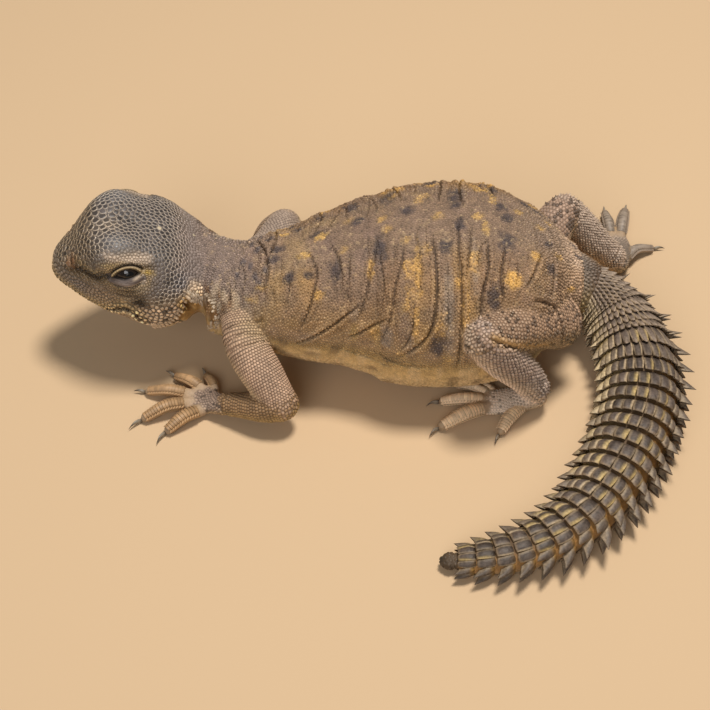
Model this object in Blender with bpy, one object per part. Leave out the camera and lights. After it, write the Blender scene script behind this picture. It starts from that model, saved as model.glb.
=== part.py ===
"""Young spiny-tailed lizard (uromastyx), life size, at rest on the floor.

The head is at -X, its left side faces -Y, the tail leaves at +X and curls back along -Y.
All tables are in millimetres; the scene is in metres.
"""
import math

import bmesh
import bpy
import numpy as np

for old in list(bpy.data.objects):
    bpy.data.objects.remove(old, do_unlink=True)

MM = 0.001
SHIFT = (-3.54, 4.48, 0.0)     # moves the tables so that the model's box is centred on the origin
GAP = 0.30                   # clearance between neighbouring pieces
FLOOR = 0.0                  # everything that rests ends in a small flat at this level

# ------------------------------------------------------------------ driving sizes
HEAD_AT = (-48.0, 3.65, 15.1)          # tip of the snout at mouth level
HEAD_YAW, HEAD_PITCH, HEAD_ROLL = 7.4, -5.4, 4.0
HEAD_MID = 2.6                          # height of the section centres over the mouth line
# distance from the snout tip, half width, top, bottom, upper exponent, lower exponent
HEAD = [(0.0, 1.2, 2.9, 1.4, 2.0, 2.0), (0.35, 2.2, 4.0, 0.5, 2.0, 2.0), (1.2, 3.4, 5.2, -0.5, 2.1, 2.0),
        (2.6, 4.65, 6.7, -1.2, 2.2, 2.0), (4.5, 6.2, 9.5, -2.2, 2.6, 2.1), (6.8, 7.9, 11.4, -3.2, 2.9, 2.1),
        (9.2, 9.2, 11.8, -4.2, 3.0, 2.2), (11.6, 10.1, 11.4, -5.1, 2.9, 2.2), (14.0, 10.9, 10.9, -6.1, 2.7, 2.2),
        (16.5, 11.3, 10.3, -6.7, 2.4, 2.2), (19.0, 10.8, 9.2, -6.8, 2.2, 2.1), (21.0, 9.7, 7.8, -6.6, 2.0, 2.0),
        (23.0, 8.4, 6.2, -6.2, 2.0, 2.0)]
HEAD_LENGTH = 23.0
# smooth swellings of the head: distance, side, height, reach along, reach across, reach up, rise; mirrored left and right
HEAD_FORMS = [(9.8, 5.8, 10.0, 3.4, 2.6, 3.0, 0.95),      # brow over the eye
              (11.5, 0.0, 11.2, 4.0, 1.8, 2.5, -0.45),     # hollow of the crown between the brows
              (5.2, 4.2, 5.2, 2.4, 1.6, 1.8, -0.35),       # hollow between nostril and eye
              (2.6, 2.9, 4.9, 1.1, 1.1, 1.0, 0.35),        # nostril swelling
              (16.6, 10.4, 1.0, 3.2, 3.0, 4.0, 0.55),      # jowl
              (8.8, 8.6, 3.4, 3.2, 2.0, 1.6, -0.35),       # below the eye
              (18.0, 6.2, 8.2, 2.8, 2.4, 2.4, 0.35)]       # back of the skull
EYE_AT = (11.6, 6.75, 6.9)              # centre of the eyeball in the head's own measures
EYE_R = 2.75
LID_R = 3.45
LID_HALF = (2.25, 1.30)                 # half length and half height of the eye opening
# mouth line: distance, height
MOUTH = [(-1.5, 1.0), (0.0, 0.95), (2.0, 0.35), (5.0, -0.55), (7.6, -0.75), (9.0, 0.0), (10.2, 1.1), (11.3, 1.45),
         (12.4, 0.9), (13.6, -0.3), (15.2, -2.0)]
JAW_END = [(17.0, -3.6), (18.6, -6.0), (19.4, -10.0)]

# body: x, y, z of the middle, half width, up, down, exponents up and down
BODY = [(-27.4, 5.9, 14.4, 9.0, 7.8, 7.6, 2.0, 2.0), (-23.9, 4.0, 13.1, 8.0, 6.4, 7.3, 2.0, 2.0),
        (-20.4, 2.5, 12.7, 8.2, 6.7, 7.2, 2.0, 2.0), (-16.3, 1.3, 13.1, 9.4, 7.6, 7.8, 2.0, 2.1),
        (-12.5, 1.0, 13.3, 10.8, 8.8, 8.6, 2.0, 2.1), (-8.7, 1.1, 13.3, 12.0, 9.8, 9.5, 2.0, 2.1),
        (-1.9, 2.3, 13.0, 14.4, 11.4, 11.3, 2.0, 2.1), (3.8, 3.0, 13.0, 16.6, 12.8, 13.7, 2.0, 2.1),
        (9.4, 3.1, 13.2, 18.2, 14.0, 14.2, 2.0, 2.1), (15.2, 3.4, 13.2, 18.6, 14.2, 14.2, 2.0, 2.1),
        (20.4, 4.0, 13.0, 17.9, 14.0, 14.0, 2.0, 2.1), (24.9, 5.0, 12.0, 15.9, 12.6, 11.9, 2.0, 2.1),
        (28.4, 5.7, 11.0, 13.0, 10.9, 10.0, 2.0, 2.1), (32.0, 6.1, 10.0, 9.3, 8.4, 7.8, 2.0, 2.0),
        (36.0, 6.4, 9.0, 6.7, 6.3, 6.0, 2.0, 2.0)]
BODY_CUTS = (-21.4, -1.0, 21.0)         # x where neck, chest, belly and hips meet

# tail: x, y, z of the middle
TAIL = [(34.0, 6.5, 9.5), (36.2, 6.4, 8.8), (39.2, 5.5, 7.7), (41.9, 3.2, 6.6), (44.0, -1.4, 5.6), (45.0, -7.2, 5.1),
        (44.6, -13.6, 4.8), (42.9, -20.1, 4.5), (40.4, -25.8, 4.2), (36.9, -31.8, 3.8), (32.7, -37.0, 3.4),
        (27.5, -40.7, 3.0), (22.6, -42.6, 2.5), (17.8, -43.4, 2.05), (13.4, -43.3, 1.45), (12.2, -43.2, 1.3)]
WHORLS = 25
TAIL_PLAIN = 0.050                      # share of the tail before the first whorl
# share of the whorls, half width out to the spine tips, height of the body, share of length
TAIL_WIDTH = [(0.00, 6.9), (0.05, 7.2), (0.12, 8.0), (0.20, 8.3), (0.35, 8.0), (0.50, 7.4), (0.60, 6.6), (0.70, 5.7),
              (0.80, 4.9), (0.88, 4.3), (0.94, 3.4), (1.00, 1.9)]
TAIL_FLAT = [(0.0, 0.92), (0.10, 0.80), (0.25, 0.70), (1.0, 0.74)]   # share of the whorls, height over width
SPINES = 10                             # spines over the top and sides of one whorl
TAIL_CUTS = (5, 10, 15, 20)             # whorls that end a length of the tail

# limbs: x, y, z, radius along the swing plane, radius across
ARM_L = [(-17.4, -5.4, 13.6, 3.5), (-16.8, -9.4, 11.8, 3.4), (-14.1, -13.2, 8.5, 3.25), (-11.6, -15.6, 5.3, 2.7)]
FOREARM_L = [(-11.4, -15.7, 5.0, 2.8), (-14.0, -15.6, 4.4, 2.6), (-17.4, -14.6, 3.5, 2.1), (-20.2, -13.6, 2.7, 1.75)]
HAND_L = [(-20.6, -13.5, 2.4, 1.8, 1.5), (-22.4, -12.4, 1.7, 2.2, 1.25), (-24.4, -11.5, 1.2, 2.9, 1.15), (-26.4, -11.2, 0.95, 2.4, 0.9)]
ARM_R = [(-15.4, 7.6, 13.6, 4.0), (-13.9, 12.2, 12.6, 3.4), (-12.7, 16.8, 11.6, 3.2), (-12.0, 20.9, 10.1, 2.95)]
FOREARM_R = [(-12.0, 21.2, 9.9, 3.0), (-14.0, 21.8, 8.0, 2.75), (-16.4, 22.2, 4.6, 2.1), (-18.3, 22.3, 2.9, 1.75)]
HAND_R = [(-18.6, 22.3, 2.5, 1.75, 1.5), (-20.2, 22.3, 1.7, 2.1, 1.25), (-22.0, 22.1, 1.15, 2.6, 1.1), (-23.8, 21.8, 0.9, 2.2, 0.85)]
THIGH_L = [(32.0, -2.6, 10.4, 4.6), (28.4, -6.8, 13.6, 3.95), (24.0, -11.0, 16.6, 3.6), (19.4, -14.6, 18.2, 3.05)]
SHIN_L = [(19.2, -14.8, 18.0, 3.15), (21.8, -14.4, 14.2, 3.1), (25.8, -12.9, 8.8, 2.8), (28.3, -11.8, 4.4, 2.3)]
FOOT_L = [(28.6, -11.4, 2.4, 2.2, 1.9), (26.0, -11.8, 2.0, 2.3, 1.7), (23.2, -12.0, 1.5, 2.6, 1.45), (20.8, -12.1, 1.1, 2.3, 1.05)]
THIGH_R = [(31.0, 12.6, 9.8, 4.4), (32.0, 15.6, 11.8, 3.9), (33.6, 18.4, 13.2, 3.4), (35.1, 20.7, 13.5, 2.95)]
SHIN_R = [(35.2, 20.8, 13.4, 3.0), (37.7, 20.8, 10.8, 2.9), (41.4, 20.5, 6.8, 2.6), (44.6, 20.2, 3.7, 2.2)]
FOOT_R = [(45.3, 20.2, 2.4, 2.2, 1.9), (45.9, 22.6, 2.0, 2.3, 1.7), (46.1, 25.2, 1.5, 2.6, 1.45), (46.2, 27.6, 1.1, 2.4, 1.05)]

# toes: base, knuckle, tip (x, y, z); radius; claw bend (x, y) from the toe tip to the claw point
TOES = {
    "hand_left": [((-22.2, -9.6, 1.5), (-23.0, -7.6, 1.5), (-24.0, -5.4, .75), .72, (-.7, 1.3)),
                  ((-24.0, -9.6, 1.4), (-26.2, -7.7, 1.7), (-28.7, -5.7, .8), .88, (-1.4, 1.0)),
                  ((-25.6, -10.4, 1.3), (-29.6, -9.7, 1.8), (-33.0, -9.0, .8), .95, (-1.6, .1)),
                  ((-25.6, -12.0, 1.3), (-29.9, -13.3, 1.8), (-33.0, -14.8, .85), 1.05, (-1.2, -2.0)),
                  ((-23.8, -13.4, 1.3), (-26.9, -15.5, 1.7), (-29.1, -17.3, .85), 1.05, (-.4, -2.3))],
    "hand_right": [((-20.2, 20.8, 1.5), (-21.2, 19.0, 1.5), (-22.4, 17.4, .75), .72, (-.9, -1.0)),
                   ((-22.0, 21.0, 1.4), (-24.4, 19.5, 1.7), (-26.8, 18.2, .75), .80, (-1.4, -.4)),
                   ((-23.2, 21.8, 1.3), (-26.3, 21.2, 1.8), (-29.2, 20.4, .75), .90, (-1.5, -.1)),
                   ((-23.2, 22.8, 1.3), (-26.2, 23.2, 1.8), (-29.0, 23.3, .75), .95, (-1.5, .4)),
                   ((-21.4, 23.6, 1.3), (-23.2, 24.9, 1.6), (-24.9, 25.9, .75), .90, (-1.2, .9))],
    "foot_left": [((22.6, -10.4, 1.6), (21.0, -8.6, 1.4), (19.6, -6.8, .75), .70, (-.9, 1.1)),
                  ((21.8, -10.8, 1.5), (19.0, -8.9, 1.6), (16.3, -7.3, .75), .80, (-1.4, .5)),
                  ((21.4, -11.6, 1.4), (17.2, -11.6, 1.8), (14.0, -11.2, .8), .98, (-1.4, -1.5)),
                  ((21.2, -13.0, 1.4), (17.2, -15.0, 1.9), (13.8, -16.5, .85), 1.12, (-.8, -2.0)),
                  ((27.0, -12.6, 1.7), (24.3, -15.4, 1.6), (22.8, -17.6, .8), 1.0, (-.2, -1.8))],
    "foot_right": [((44.6, 25.2, 1.6), (42.6, 26.4, 1.5), (41.2, 27.4, .75), .70, (-1.0, .9)),
                   ((45.0, 26.6, 1.5), (43.4, 29.6, 1.7), (42.4, 32.2, .75), .80, (-.5, 1.5)),
                   ((45.6, 27.6, 1.4), (45.4, 31.8, 1.8), (45.4, 35.4, .75), .88, (.1, 1.7)),
                   ((47.0, 27.4, 1.4), (48.0, 32.0, 1.9), (49.0, 35.9, .75), .95, (.5, 1.7)),
                   ((46.8, 21.2, 1.7), (49.6, 24.6, 1.7), (52.4, 25.9, .85), .85, (1.7, -.4))],
}
CLAW_R = 0.42

# ------------------------------------------------------------------ materials
def material(name, colour, rough):
    m = bpy.data.materials.new(name)
    m.use_nodes = True
    b = m.node_tree.nodes["Principled BSDF"]
    b.inputs["Base Color"].default_value = (*colour, 1)
    b.inputs["Roughness"].default_value = rough
    b.inputs["Metallic"].default_value = 0.0
    m.diffuse_color = (*colour, 1)
    return m

MATS = {"head_skin": material("head_skin", (0.105, 0.100, 0.098), 0.62),
        "body_skin": material("body_skin", (0.185, 0.135, 0.095), 0.70),
        "limb_skin": material("limb_skin", (0.215, 0.155, 0.105), 0.68),
        "foot_skin": material("foot_skin", (0.370, 0.265, 0.150), 0.66),
        "tail_plates": material("tail_plates", (0.130, 0.095, 0.068), 0.55),
        "eye": material("eye", (0.030, 0.016, 0.008), 0.10),
        "claw": material("claw", (0.135, 0.105, 0.080), 0.35)}

SOLIDS = bpy.data.collections.new("uromastyx")
TOOLS = bpy.data.collections.new("cutters")
bpy.context.scene.collection.children.link(SOLIDS)
bpy.context.scene.collection.children.link(TOOLS)

# ------------------------------------------------------------------ curves and sections
def smooth(keys, t):
    """Curve through the keys (first column is the parameter) that never overshoots."""
    K = np.asarray(keys, float)
    x, v = K[:, 0], K[:, 1:]
    h = np.diff(x)[:, None]
    s = np.diff(v, axis=0) / h
    m = np.zeros_like(v)
    m[0], m[-1] = s[0], s[-1]
    w1, w2 = 2 * h[1:] + h[:-1], h[1:] + 2 * h[:-1]
    ok = s[:-1] * s[1:] > 0
    m[1:-1] = np.where(ok, (w1 + w2) / (w1 / np.where(ok, s[:-1], 1) + w2 / np.where(ok, s[1:], 1)), 0)
    return hermite(x, v, m, t)

def flow(keys, t):
    """Curve through the keys with even bends."""
    K = np.asarray(keys, float)
    return hermite(K[:, 0], K[:, 1:], np.gradient(K[:, 1:], K[:, 0], axis=0), t)

def hermite(x, v, m, t):
    t = np.asarray(t, float)
    i = np.clip(np.searchsorted(x, t, side="right") - 1, 0, len(x) - 2)
    h = (x[i + 1] - x[i])[:, None]
    u = (t - x[i])[:, None] / h
    return ((1 + 2 * u) * (1 - u) ** 2 * v[i] + u * (1 - u) ** 2 * h * m[i]
            + u * u * (3 - 2 * u) * v[i + 1] + u * u * (u - 1) * h * m[i + 1])

def by_length(points):
    """Puts the running length before each row."""
    P = np.asarray(points, float)
    s = np.concatenate([[0], np.cumsum(np.linalg.norm(np.diff(P[:, :3], axis=0), axis=1))])
    return np.column_stack([s, P])

def unit(v):
    return v / np.maximum(np.linalg.norm(v, axis=-1, keepdims=True), 1e-12)

def frames(C, up=(0, 0, 1)):
    """Side and up directions of sections square to the line C."""
    T = unit(np.gradient(C, axis=0))
    side = unit(np.cross(T, np.asarray(up, float)))
    return T, side, np.cross(side, T)

def section(C, side, up, a, bu, bd, nu, nd, count, start=0.0):
    phi = start + np.arange(count) * 2 * math.pi / count
    c, s = np.cos(phi)[None, :], np.sin(phi)[None, :]
    n = np.where(s >= 0, np.reshape(nu, (-1, 1)), np.reshape(nd, (-1, 1)))
    l = np.sign(c) * np.abs(c) ** (2 / n) * np.reshape(a, (-1, 1))
    h = np.sign(s) * np.abs(s) ** (2 / n)
    h = h * np.where(s >= 0, np.reshape(bu, (-1, 1)), np.reshape(bd, (-1, 1)))
    return C[:, None] + l[..., None] * side[:, None] + h[..., None] * up[:, None]

# ------------------------------------------------------------------ meshes
def make(name, verts, faces, mat=None, tool=False, floor=True):
    P = np.array(verts, float)
    if floor:
        P[:, 2] = np.maximum(P[:, 2], FLOOR)
    P = (P + np.array(SHIFT)) * MM
    me = bpy.data.meshes.new(name)
    bm = bmesh.new()
    vs = [bm.verts.new(p) for p in P]
    for f in faces:
        bm.faces.new([vs[i] for i in f])
    bmesh.ops.remove_doubles(bm, verts=bm.verts, dist=1e-7)
    bmesh.ops.recalc_face_normals(bm, faces=bm.faces)
    bm.to_mesh(me)
    bm.free()
    ob = bpy.data.objects.new(name, me)
    (TOOLS if tool else SOLIDS).objects.link(ob)
    if tool:
        ob.hide_render = True
        ob.display_type = "WIRE"
    if mat:
        me.materials.append(MATS[mat])
    return ob

def skin_faces(m, n):
    """Side faces of m rings of n points, with a fan at each end (points m*n and m*n+1)."""
    f = [(i * n + j, i * n + (j + 1) % n, (i + 1) * n + (j + 1) % n, (i + 1) * n + j) for i in range(m - 1) for j in range(n)]
    f += [(m * n, (j + 1) % n, j) for j in range(n)]
    f += [(m * n + 1, (m - 1) * n + j, (m - 1) * n + (j + 1) % n) for j in range(n)]
    return f

def loft(name, rings, mat=None, tool=False, floor=True):
    R = np.asarray(rings, float)
    m, n = R.shape[:2]
    V = np.vstack([R.reshape(-1, 3), R[0].mean(0), R[-1].mean(0)])
    return make(name, V, skin_faces(m, n), mat, tool, floor)

def limb(name, keys, mat=None, grow=0.0, steps=6, count=10, up=(0, 0, 1), tool=False, ends=(True, True), start=0.0):
    """Tapering limb with rounded ends; a fifth column makes it flat."""
    K = by_length(keys)
    K = np.column_stack([K, K[:, -1]]) if K.shape[1] == 5 else K
    L = K[-1, 0]
    t = list(np.linspace(0, L, steps))
    V = flow(K, t)
    C, a, b = V[:, :3], V[:, 3] + grow, V[:, 4] + grow
    T, side, upv = frames(C, up)
    ring_C, ring_a, ring_b, ring_s, ring_u = [], [], [], [], []
    def add(c, ra, rb, s, u):
        ring_C.append(c); ring_a.append(ra); ring_b.append(rb); ring_s.append(s); ring_u.append(u)
    if ends[0]:
        r0 = min(a[0], b[0])
        for q in (0.92, 0.55):
            add(C[0] - T[0] * r0 * q, a[0] * math.sqrt(1 - q * q), b[0] * math.sqrt(1 - q * q), side[0], upv[0])
    for i in range(len(C)):
        add(C[i], a[i], b[i], side[i], upv[i])
    if ends[1]:
        r1 = min(a[-1], b[-1])
        for q in (0.55, 0.92):
            add(C[-1] + T[-1] * r1 * q, a[-1] * math.sqrt(1 - q * q), b[-1] * math.sqrt(1 - q * q), side[-1], upv[-1])
    two = np.full(len(ring_C), 2.0)
    R = section(np.array(ring_C), np.array(ring_s), np.array(ring_u), ring_a, ring_b, ring_b, two, two, count, start)
    return loft(name, R, mat, tool)

def boolean(ob, other, kind):
    m = ob.modifiers.new(kind.lower(), "BOOLEAN")
    m.operation = kind
    m.solver = "EXACT"
    m.object = other

def tool(ob):
    for c in list(ob.users_collection):
        c.objects.unlink(ob)
    TOOLS.objects.link(ob)
    ob.hide_render = True
    ob.display_type = "WIRE"
    return ob

# ------------------------------------------------------------------ head
def head_axes():
    a, p, r = (math.radians(v) for v in (HEAD_YAW, HEAD_PITCH, HEAD_ROLL))
    f = np.array([-math.cos(a), -math.sin(a), 0])
    l = np.array([math.sin(a), -math.cos(a), 0])
    u = np.array([0, 0, 1.0])
    f, u = f * math.cos(p) - u * math.sin(p), u * math.cos(p) + f * math.sin(p)
    return f, l * math.cos(r) - u * math.sin(r), u * math.cos(r) + l * math.sin(r)

HF, HL, HU = head_axes()

def head_point(d, l, u):
    d, l, u = (np.asarray(v, float)[..., None] for v in (d, l, u))
    return np.array(HEAD_AT) - d * HF + l * HL + u * HU

def head_forms(d, l, u):
    """Adds the swellings, each along the outward direction of the section."""
    push = np.zeros_like(d)
    for fd, fl, fu, rd, rl, ru, rise in HEAD_FORMS:
        for sgn in ((1, -1) if fl else (1,)):
            push += rise * np.exp(-((d - fd) / rd) ** 2 - ((l - sgn * fl) / rl) ** 2 - ((u - fu) / ru) ** 2)
    r = np.sqrt(l * l + (u - HEAD_MID) ** 2) + 1e-9
    return d, l + push * l / r, u + push * (u - HEAD_MID) / r

def head_rings(ds, count, grow=0.0):
    V = smooth(HEAD, ds)
    phi = np.arange(count) * 2 * math.pi / count
    c, s = np.cos(phi)[None], np.sin(phi)[None]
    n = np.where(s >= 0, V[:, 3:4], V[:, 4:5])
    l = np.sign(c) * np.abs(c) ** (2 / n) * V[:, 0:1]
    h = np.sign(s) * np.abs(s) ** (2 / n)
    u = HEAD_MID + h * np.where(s >= 0, V[:, 1:2] - HEAD_MID, HEAD_MID - V[:, 2:3])
    d = np.repeat(np.asarray(ds, float)[:, None], count, 1)
    d, l, u = head_forms(d, l, u)
    r = np.sqrt(l * l + (u - HEAD_MID) ** 2) + 1e-9
    return head_point(d, l * (1 + grow / r), u + grow * (u - HEAD_MID) / r)

HEAD_STEPS = [0.0, 0.35, 1.1, 2.2, 3.6, 5.2, 6.9, 8.6, 10.3, 12.2, 14.4, 16.8, 19.2, 21.2, 22.9]
whole_head = head_rings(HEAD_STEPS, 22)

def jaw_block(name, grow):
    """Block whose top follows the mouth line and whose back cuts down behind the jaw."""
    edge = [(d, u + grow) for d, u in MOUTH] + [(d + grow, u) for d, u in JAW_END]
    outline = edge + [(-1.5, JAW_END[-1][1])]
    n = len(outline)
    V = [head_point(d, s * 16.0, u) for s in (-1, 1) for d, u in outline]
    F = [tuple(range(n)), tuple(range(2 * n - 1, n - 1, -1))]
    F += [(i, (i + 1) % n, n + (i + 1) % n, n + i) for i in range(n)]
    return make(name, V, F, tool=True, floor=False)

head = loft("head", whole_head, "head_skin")
jaw = loft("lower_jaw", whole_head, "head_skin")

def ball(name, centre, radius, mat=None, tool=False, axis=None, rings=10, count=16, scale=(1, 1, 1), basis=None):
    B = basis if basis is not None else np.eye(3)
    th = np.linspace(0, math.pi, rings + 2)[1:-1]
    R = [[np.array(centre) + B.T @ (radius * np.array([scale[0] * math.sin(t) * math.cos(p), scale[1] * math.sin(t) * math.sin(p), scale[2] * math.cos(t)]))
          for p in np.arange(count) * 2 * math.pi / count] for t in th]
    V = np.vstack([np.reshape(R, (-1, 3)), [np.array(centre) + B.T @ np.array([0, 0, radius * scale[2]])], [np.array(centre) - B.T @ np.array([0, 0, radius * scale[2]])]])
    return make(name, V, skin_faces(rings, count), mat, tool, False)

def eye_axis(sgn):
    """Outward direction of an eye, a little forward and up."""
    return unit(0.16 * HF + sgn * 0.94 * HL + 0.30 * HU)

for side_name, sgn in (("left", 1), ("right", -1)):
    at = head_point(EYE_AT[0], sgn * EYE_AT[1], EYE_AT[2])
    out = eye_axis(sgn)
    along = unit(HF - out * (HF @ out))
    above = np.cross(along, out) * (1 if (np.cross(along, out) @ HU) > 0 else -1)
    basis = np.array([along, above, np.cross(along, above)])
    basis = basis if basis[2] @ out > 0 else np.array([along, above, -basis[2]])
    ball("eye_" + side_name, at, EYE_R, "eye", rings=6, count=10, basis=basis)
    boolean(head, ball("lid_" + side_name, at + out * 0.10, LID_R, tool=True, rings=7, count=10, basis=basis), "UNION")
for side_name, sgn in (("left", 1), ("right", -1)):
    at = head_point(EYE_AT[0], sgn * EYE_AT[1], EYE_AT[2])
    out = eye_axis(sgn)
    along = unit(HF - out * (HF @ out))
    above = np.cross(along, out) * (1 if (np.cross(along, out) @ HU) > 0 else -1)
    basis = np.array([along, above, np.cross(along, above)])
    basis = basis if basis[2] @ out > 0 else np.array([along, above, -basis[2]])
    boolean(head, ball("socket_" + side_name, at, EYE_R + GAP, tool=True, rings=7, count=10, basis=basis), "DIFFERENCE")
    phi = np.arange(10) * 2 * math.pi / 10
    slit = [[at + out * k + along * LID_HALF[0] * math.cos(p) + above * (LID_HALF[1] * math.sin(p) * (1 - 0.25 * abs(math.cos(p))) + 0.05) for p in phi]
            for k in (1.2, 6.0)]
    boolean(head, loft("slit_" + side_name, slit, tool=True, floor=False), "DIFFERENCE")

jaw_cut, jaw_keep = jaw_block("jaw_cut", GAP), jaw_block("jaw_keep", 0.0)
boolean(head, jaw_cut, "DIFFERENCE")
boolean(jaw, jaw_keep, "INTERSECT")
for side_name, sgn in (("left", 1), ("right", -1)):
    # ear opening behind the jowl and nostril at the snout
    ear_at = head_point(21.0, sgn * 9.85, 1.5)
    ear_long = unit(HU * 0.9 - HF * 0.35)
    ear_wide = unit(HF - ear_long * (HF @ ear_long))
    ear_basis = np.array([ear_wide, ear_long, np.cross(ear_wide, ear_long)])
    boolean(head, ball("ear_" + side_name, ear_at, 1.0, tool=True, rings=5, count=8, scale=(0.65, 1.9, 1.0), basis=ear_basis), "DIFFERENCE")
    nose_at = head_point(2.7, sgn * 3.6, 5.9)
    boolean(head, ball("nostril_" + side_name, nose_at, 0.5, tool=True, rings=4, count=8, basis=np.array([HF, HU, np.cross(HF, HU)])), "DIFFERENCE")

# ------------------------------------------------------------------ neck and trunk
BODY_LINE = np.array(BODY)
def body_rings(xs, count, planes=None):
    """Sections at stations given by x, square to the line at the stations in planes."""
    K = BODY_LINE
    V = smooth(K, xs)
    planes = xs if planes is None else planes
    fine = np.linspace(K[0, 0], K[-1, 0], 200)
    FV = smooth(K, fine)
    FT = np.gradient(np.column_stack([fine, FV[:, :2]]), axis=0)
    FT[:, 1:] *= np.interp(fine, [-18.0, -4.0], [0.5, 1.0])[:, None]
    T = unit(np.column_stack([np.interp(planes, fine, FT[:, k]) for k in range(3)]))
    C = np.column_stack([xs, V[:, :2]])
    roll = np.radians(np.interp(xs, [-27.0, -17.0], [HEAD_ROLL, 0.0]))
    side = unit(np.cross(T, [0, 0, 1.0]))
    up = np.cross(side, T)
    s2 = side * np.cos(roll)[:, None] - up * np.sin(roll)[:, None]
    u2 = up * np.cos(roll)[:, None] + side * np.sin(roll)[:, None]
    return section(C, s2, u2, V[:, 2], V[:, 3], V[:, 4], V[:, 5], V[:, 6], count)

def body_piece(name, x0, x1, steps, count=20):
    """One length of the body, half a gap short of each cut, its end faces square to the line at the cut."""
    planes = np.linspace(x0, x1, steps)
    xs = planes.copy()
    xs[0] += GAP / 2
    xs[-1] -= GAP / 2
    return loft(name, body_rings(xs, count, planes), "body_skin")

def neck_rings(count=20):
    """From the back of the head to the chest, drawn in a little between them."""
    first = head_rings([HEAD_LENGTH - 0.1 + GAP], count)[0]
    last = body_rings(np.array([BODY_CUTS[0] - GAP / 2]), count, np.array([BODY_CUTS[0]]))[0]
    rings = []
    for q in (0.0, 0.35, 0.7, 1.0):
        ring = first * (1 - q) + last * q
        rings.append(ring.mean(0) + (ring - ring.mean(0)) * (1 - 0.05 * math.sin(math.pi * q)))
    return rings

neck = loft("neck", neck_rings(), "body_skin")
chest = body_piece("chest", BODY_CUTS[0], BODY_CUTS[1], 7)
belly = body_piece("belly", BODY_CUTS[1], BODY_CUTS[2], 8)
hips = body_piece("hips", BODY_CUTS[2], 34.6, 5)

# ------------------------------------------------------------------ tail
TAIL_LINE = by_length(TAIL)
TAIL_LONG = TAIL_LINE[-1, 0]
TAIL_START = TAIL_LONG * TAIL_PLAIN

def tail_at(s):
    s = np.atleast_1d(np.asarray(s, float))
    C = flow(TAIL_LINE, s)
    T = unit(flow(TAIL_LINE, np.minimum(s + 0.2, TAIL_LONG)) - flow(TAIL_LINE, np.maximum(s - 0.2, 0)))
    side = unit(np.cross(T, [0, 0, 1.0]))
    return C, T, side, np.cross(side, T)

def whorl_start(k):
    """Running length where whorl k begins; whorls shorten a little towards the tip."""
    q = k / WHORLS
    return TAIL_START + (TAIL_LONG - TAIL_START) * (q * 1.10 - 0.10 * q * q)

def tail_half(s):
    return float(np.interp((s - TAIL_START) / (TAIL_LONG - TAIL_START), [a for a, _ in TAIL_WIDTH], [b for _, b in TAIL_WIDTH]))

FIRST, LAST = math.radians(-16), math.radians(196)
def tail_angles():
    """Angle of each point round the tail, and 1 at a spine, 0 between spines."""
    top = [(FIRST + (LAST - FIRST) * i / (2 * SPINES - 2), 1 - i % 2) for i in range(2 * SPINES - 1)]
    under = [(LAST + (2 * math.pi + FIRST - LAST) * i / 4, 0) for i in (1, 2, 3)]
    return top + under

ANGLES = tail_angles()

def tail_ring(s, scale, spine_scale, spine_back):
    """One ring; spine points are pushed out and back from the others."""
    out = []
    C, T, side, up = (v[0] for v in tail_at(s))
    W = tail_half(s) / 1.24
    flat = float(np.interp((s - TAIL_START) / (TAIL_LONG - TAIL_START), [a for a, _ in TAIL_FLAT], [b for _, b in TAIL_FLAT]))
    for phi, spine in ANGLES:
        side_share = abs(math.cos(phi))
        k = scale + spine * (spine_scale - scale) * (0.55 + 0.45 * side_share)
        back = spine * spine_back * (0.7 + 0.3 * side_share)
        c, sn = math.cos(phi), math.sin(phi)
        l = W * k * math.copysign(abs(c) ** 0.95, c)
        hgt = W * flat * k * math.copysign(abs(sn) ** 0.95, sn)
        if sn < 0:
            hgt *= 1.05
        out.append(C + side * l + up * hgt + T * back)
    return out

def tail_piece(name, k0, k1, first=False):
    rings = []
    if first:
        rings.append(tail_ring(1.30, 1.14, 1.14, 0))
    for k in range(k0, k1):
        s0, s1 = whorl_start(k), whorl_start(k + 1)
        ln = s1 - s0
        lead = GAP if k == k0 and not first else 0.06
        rings.append(tail_ring(s0 + lead, 0.98 if first and k == k0 else 0.86, 0.98 if first and k == k0 else 0.88, 0))
        if k < 10:
            rings.append(tail_ring(s0 + 0.52 * ln, 0.96, 1.04, 0.05 * ln))
        rings.append(tail_ring(s0 + 0.90 * ln, 0.97, 1.24, 0.30 * ln))
        if k == k1 - 1:
            rings.append(tail_ring(s1, 0.84, 0.86, 0))
    return loft(name, rings, "tail_plates")

cuts = (0,) + TAIL_CUTS + (WHORLS,)
for i in range(len(cuts) - 1):
    tail_piece("tail_%d" % (i + 1), cuts[i], cuts[i + 1], first=(i == 0))

# ------------------------------------------------------------------ limbs
def bigger(name, keys, **kw):
    return limb(name, keys, grow=GAP, tool=True, **kw)

def toe_keys(base, knuckle, tip, r):
    return [(*base, r * 1.02, r * 0.98), (*knuckle, r * 1.05, r * 0.98), (tip[0], tip[1], min(tip[2], r * 0.80), r * 0.80, r * 0.86)]

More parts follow.
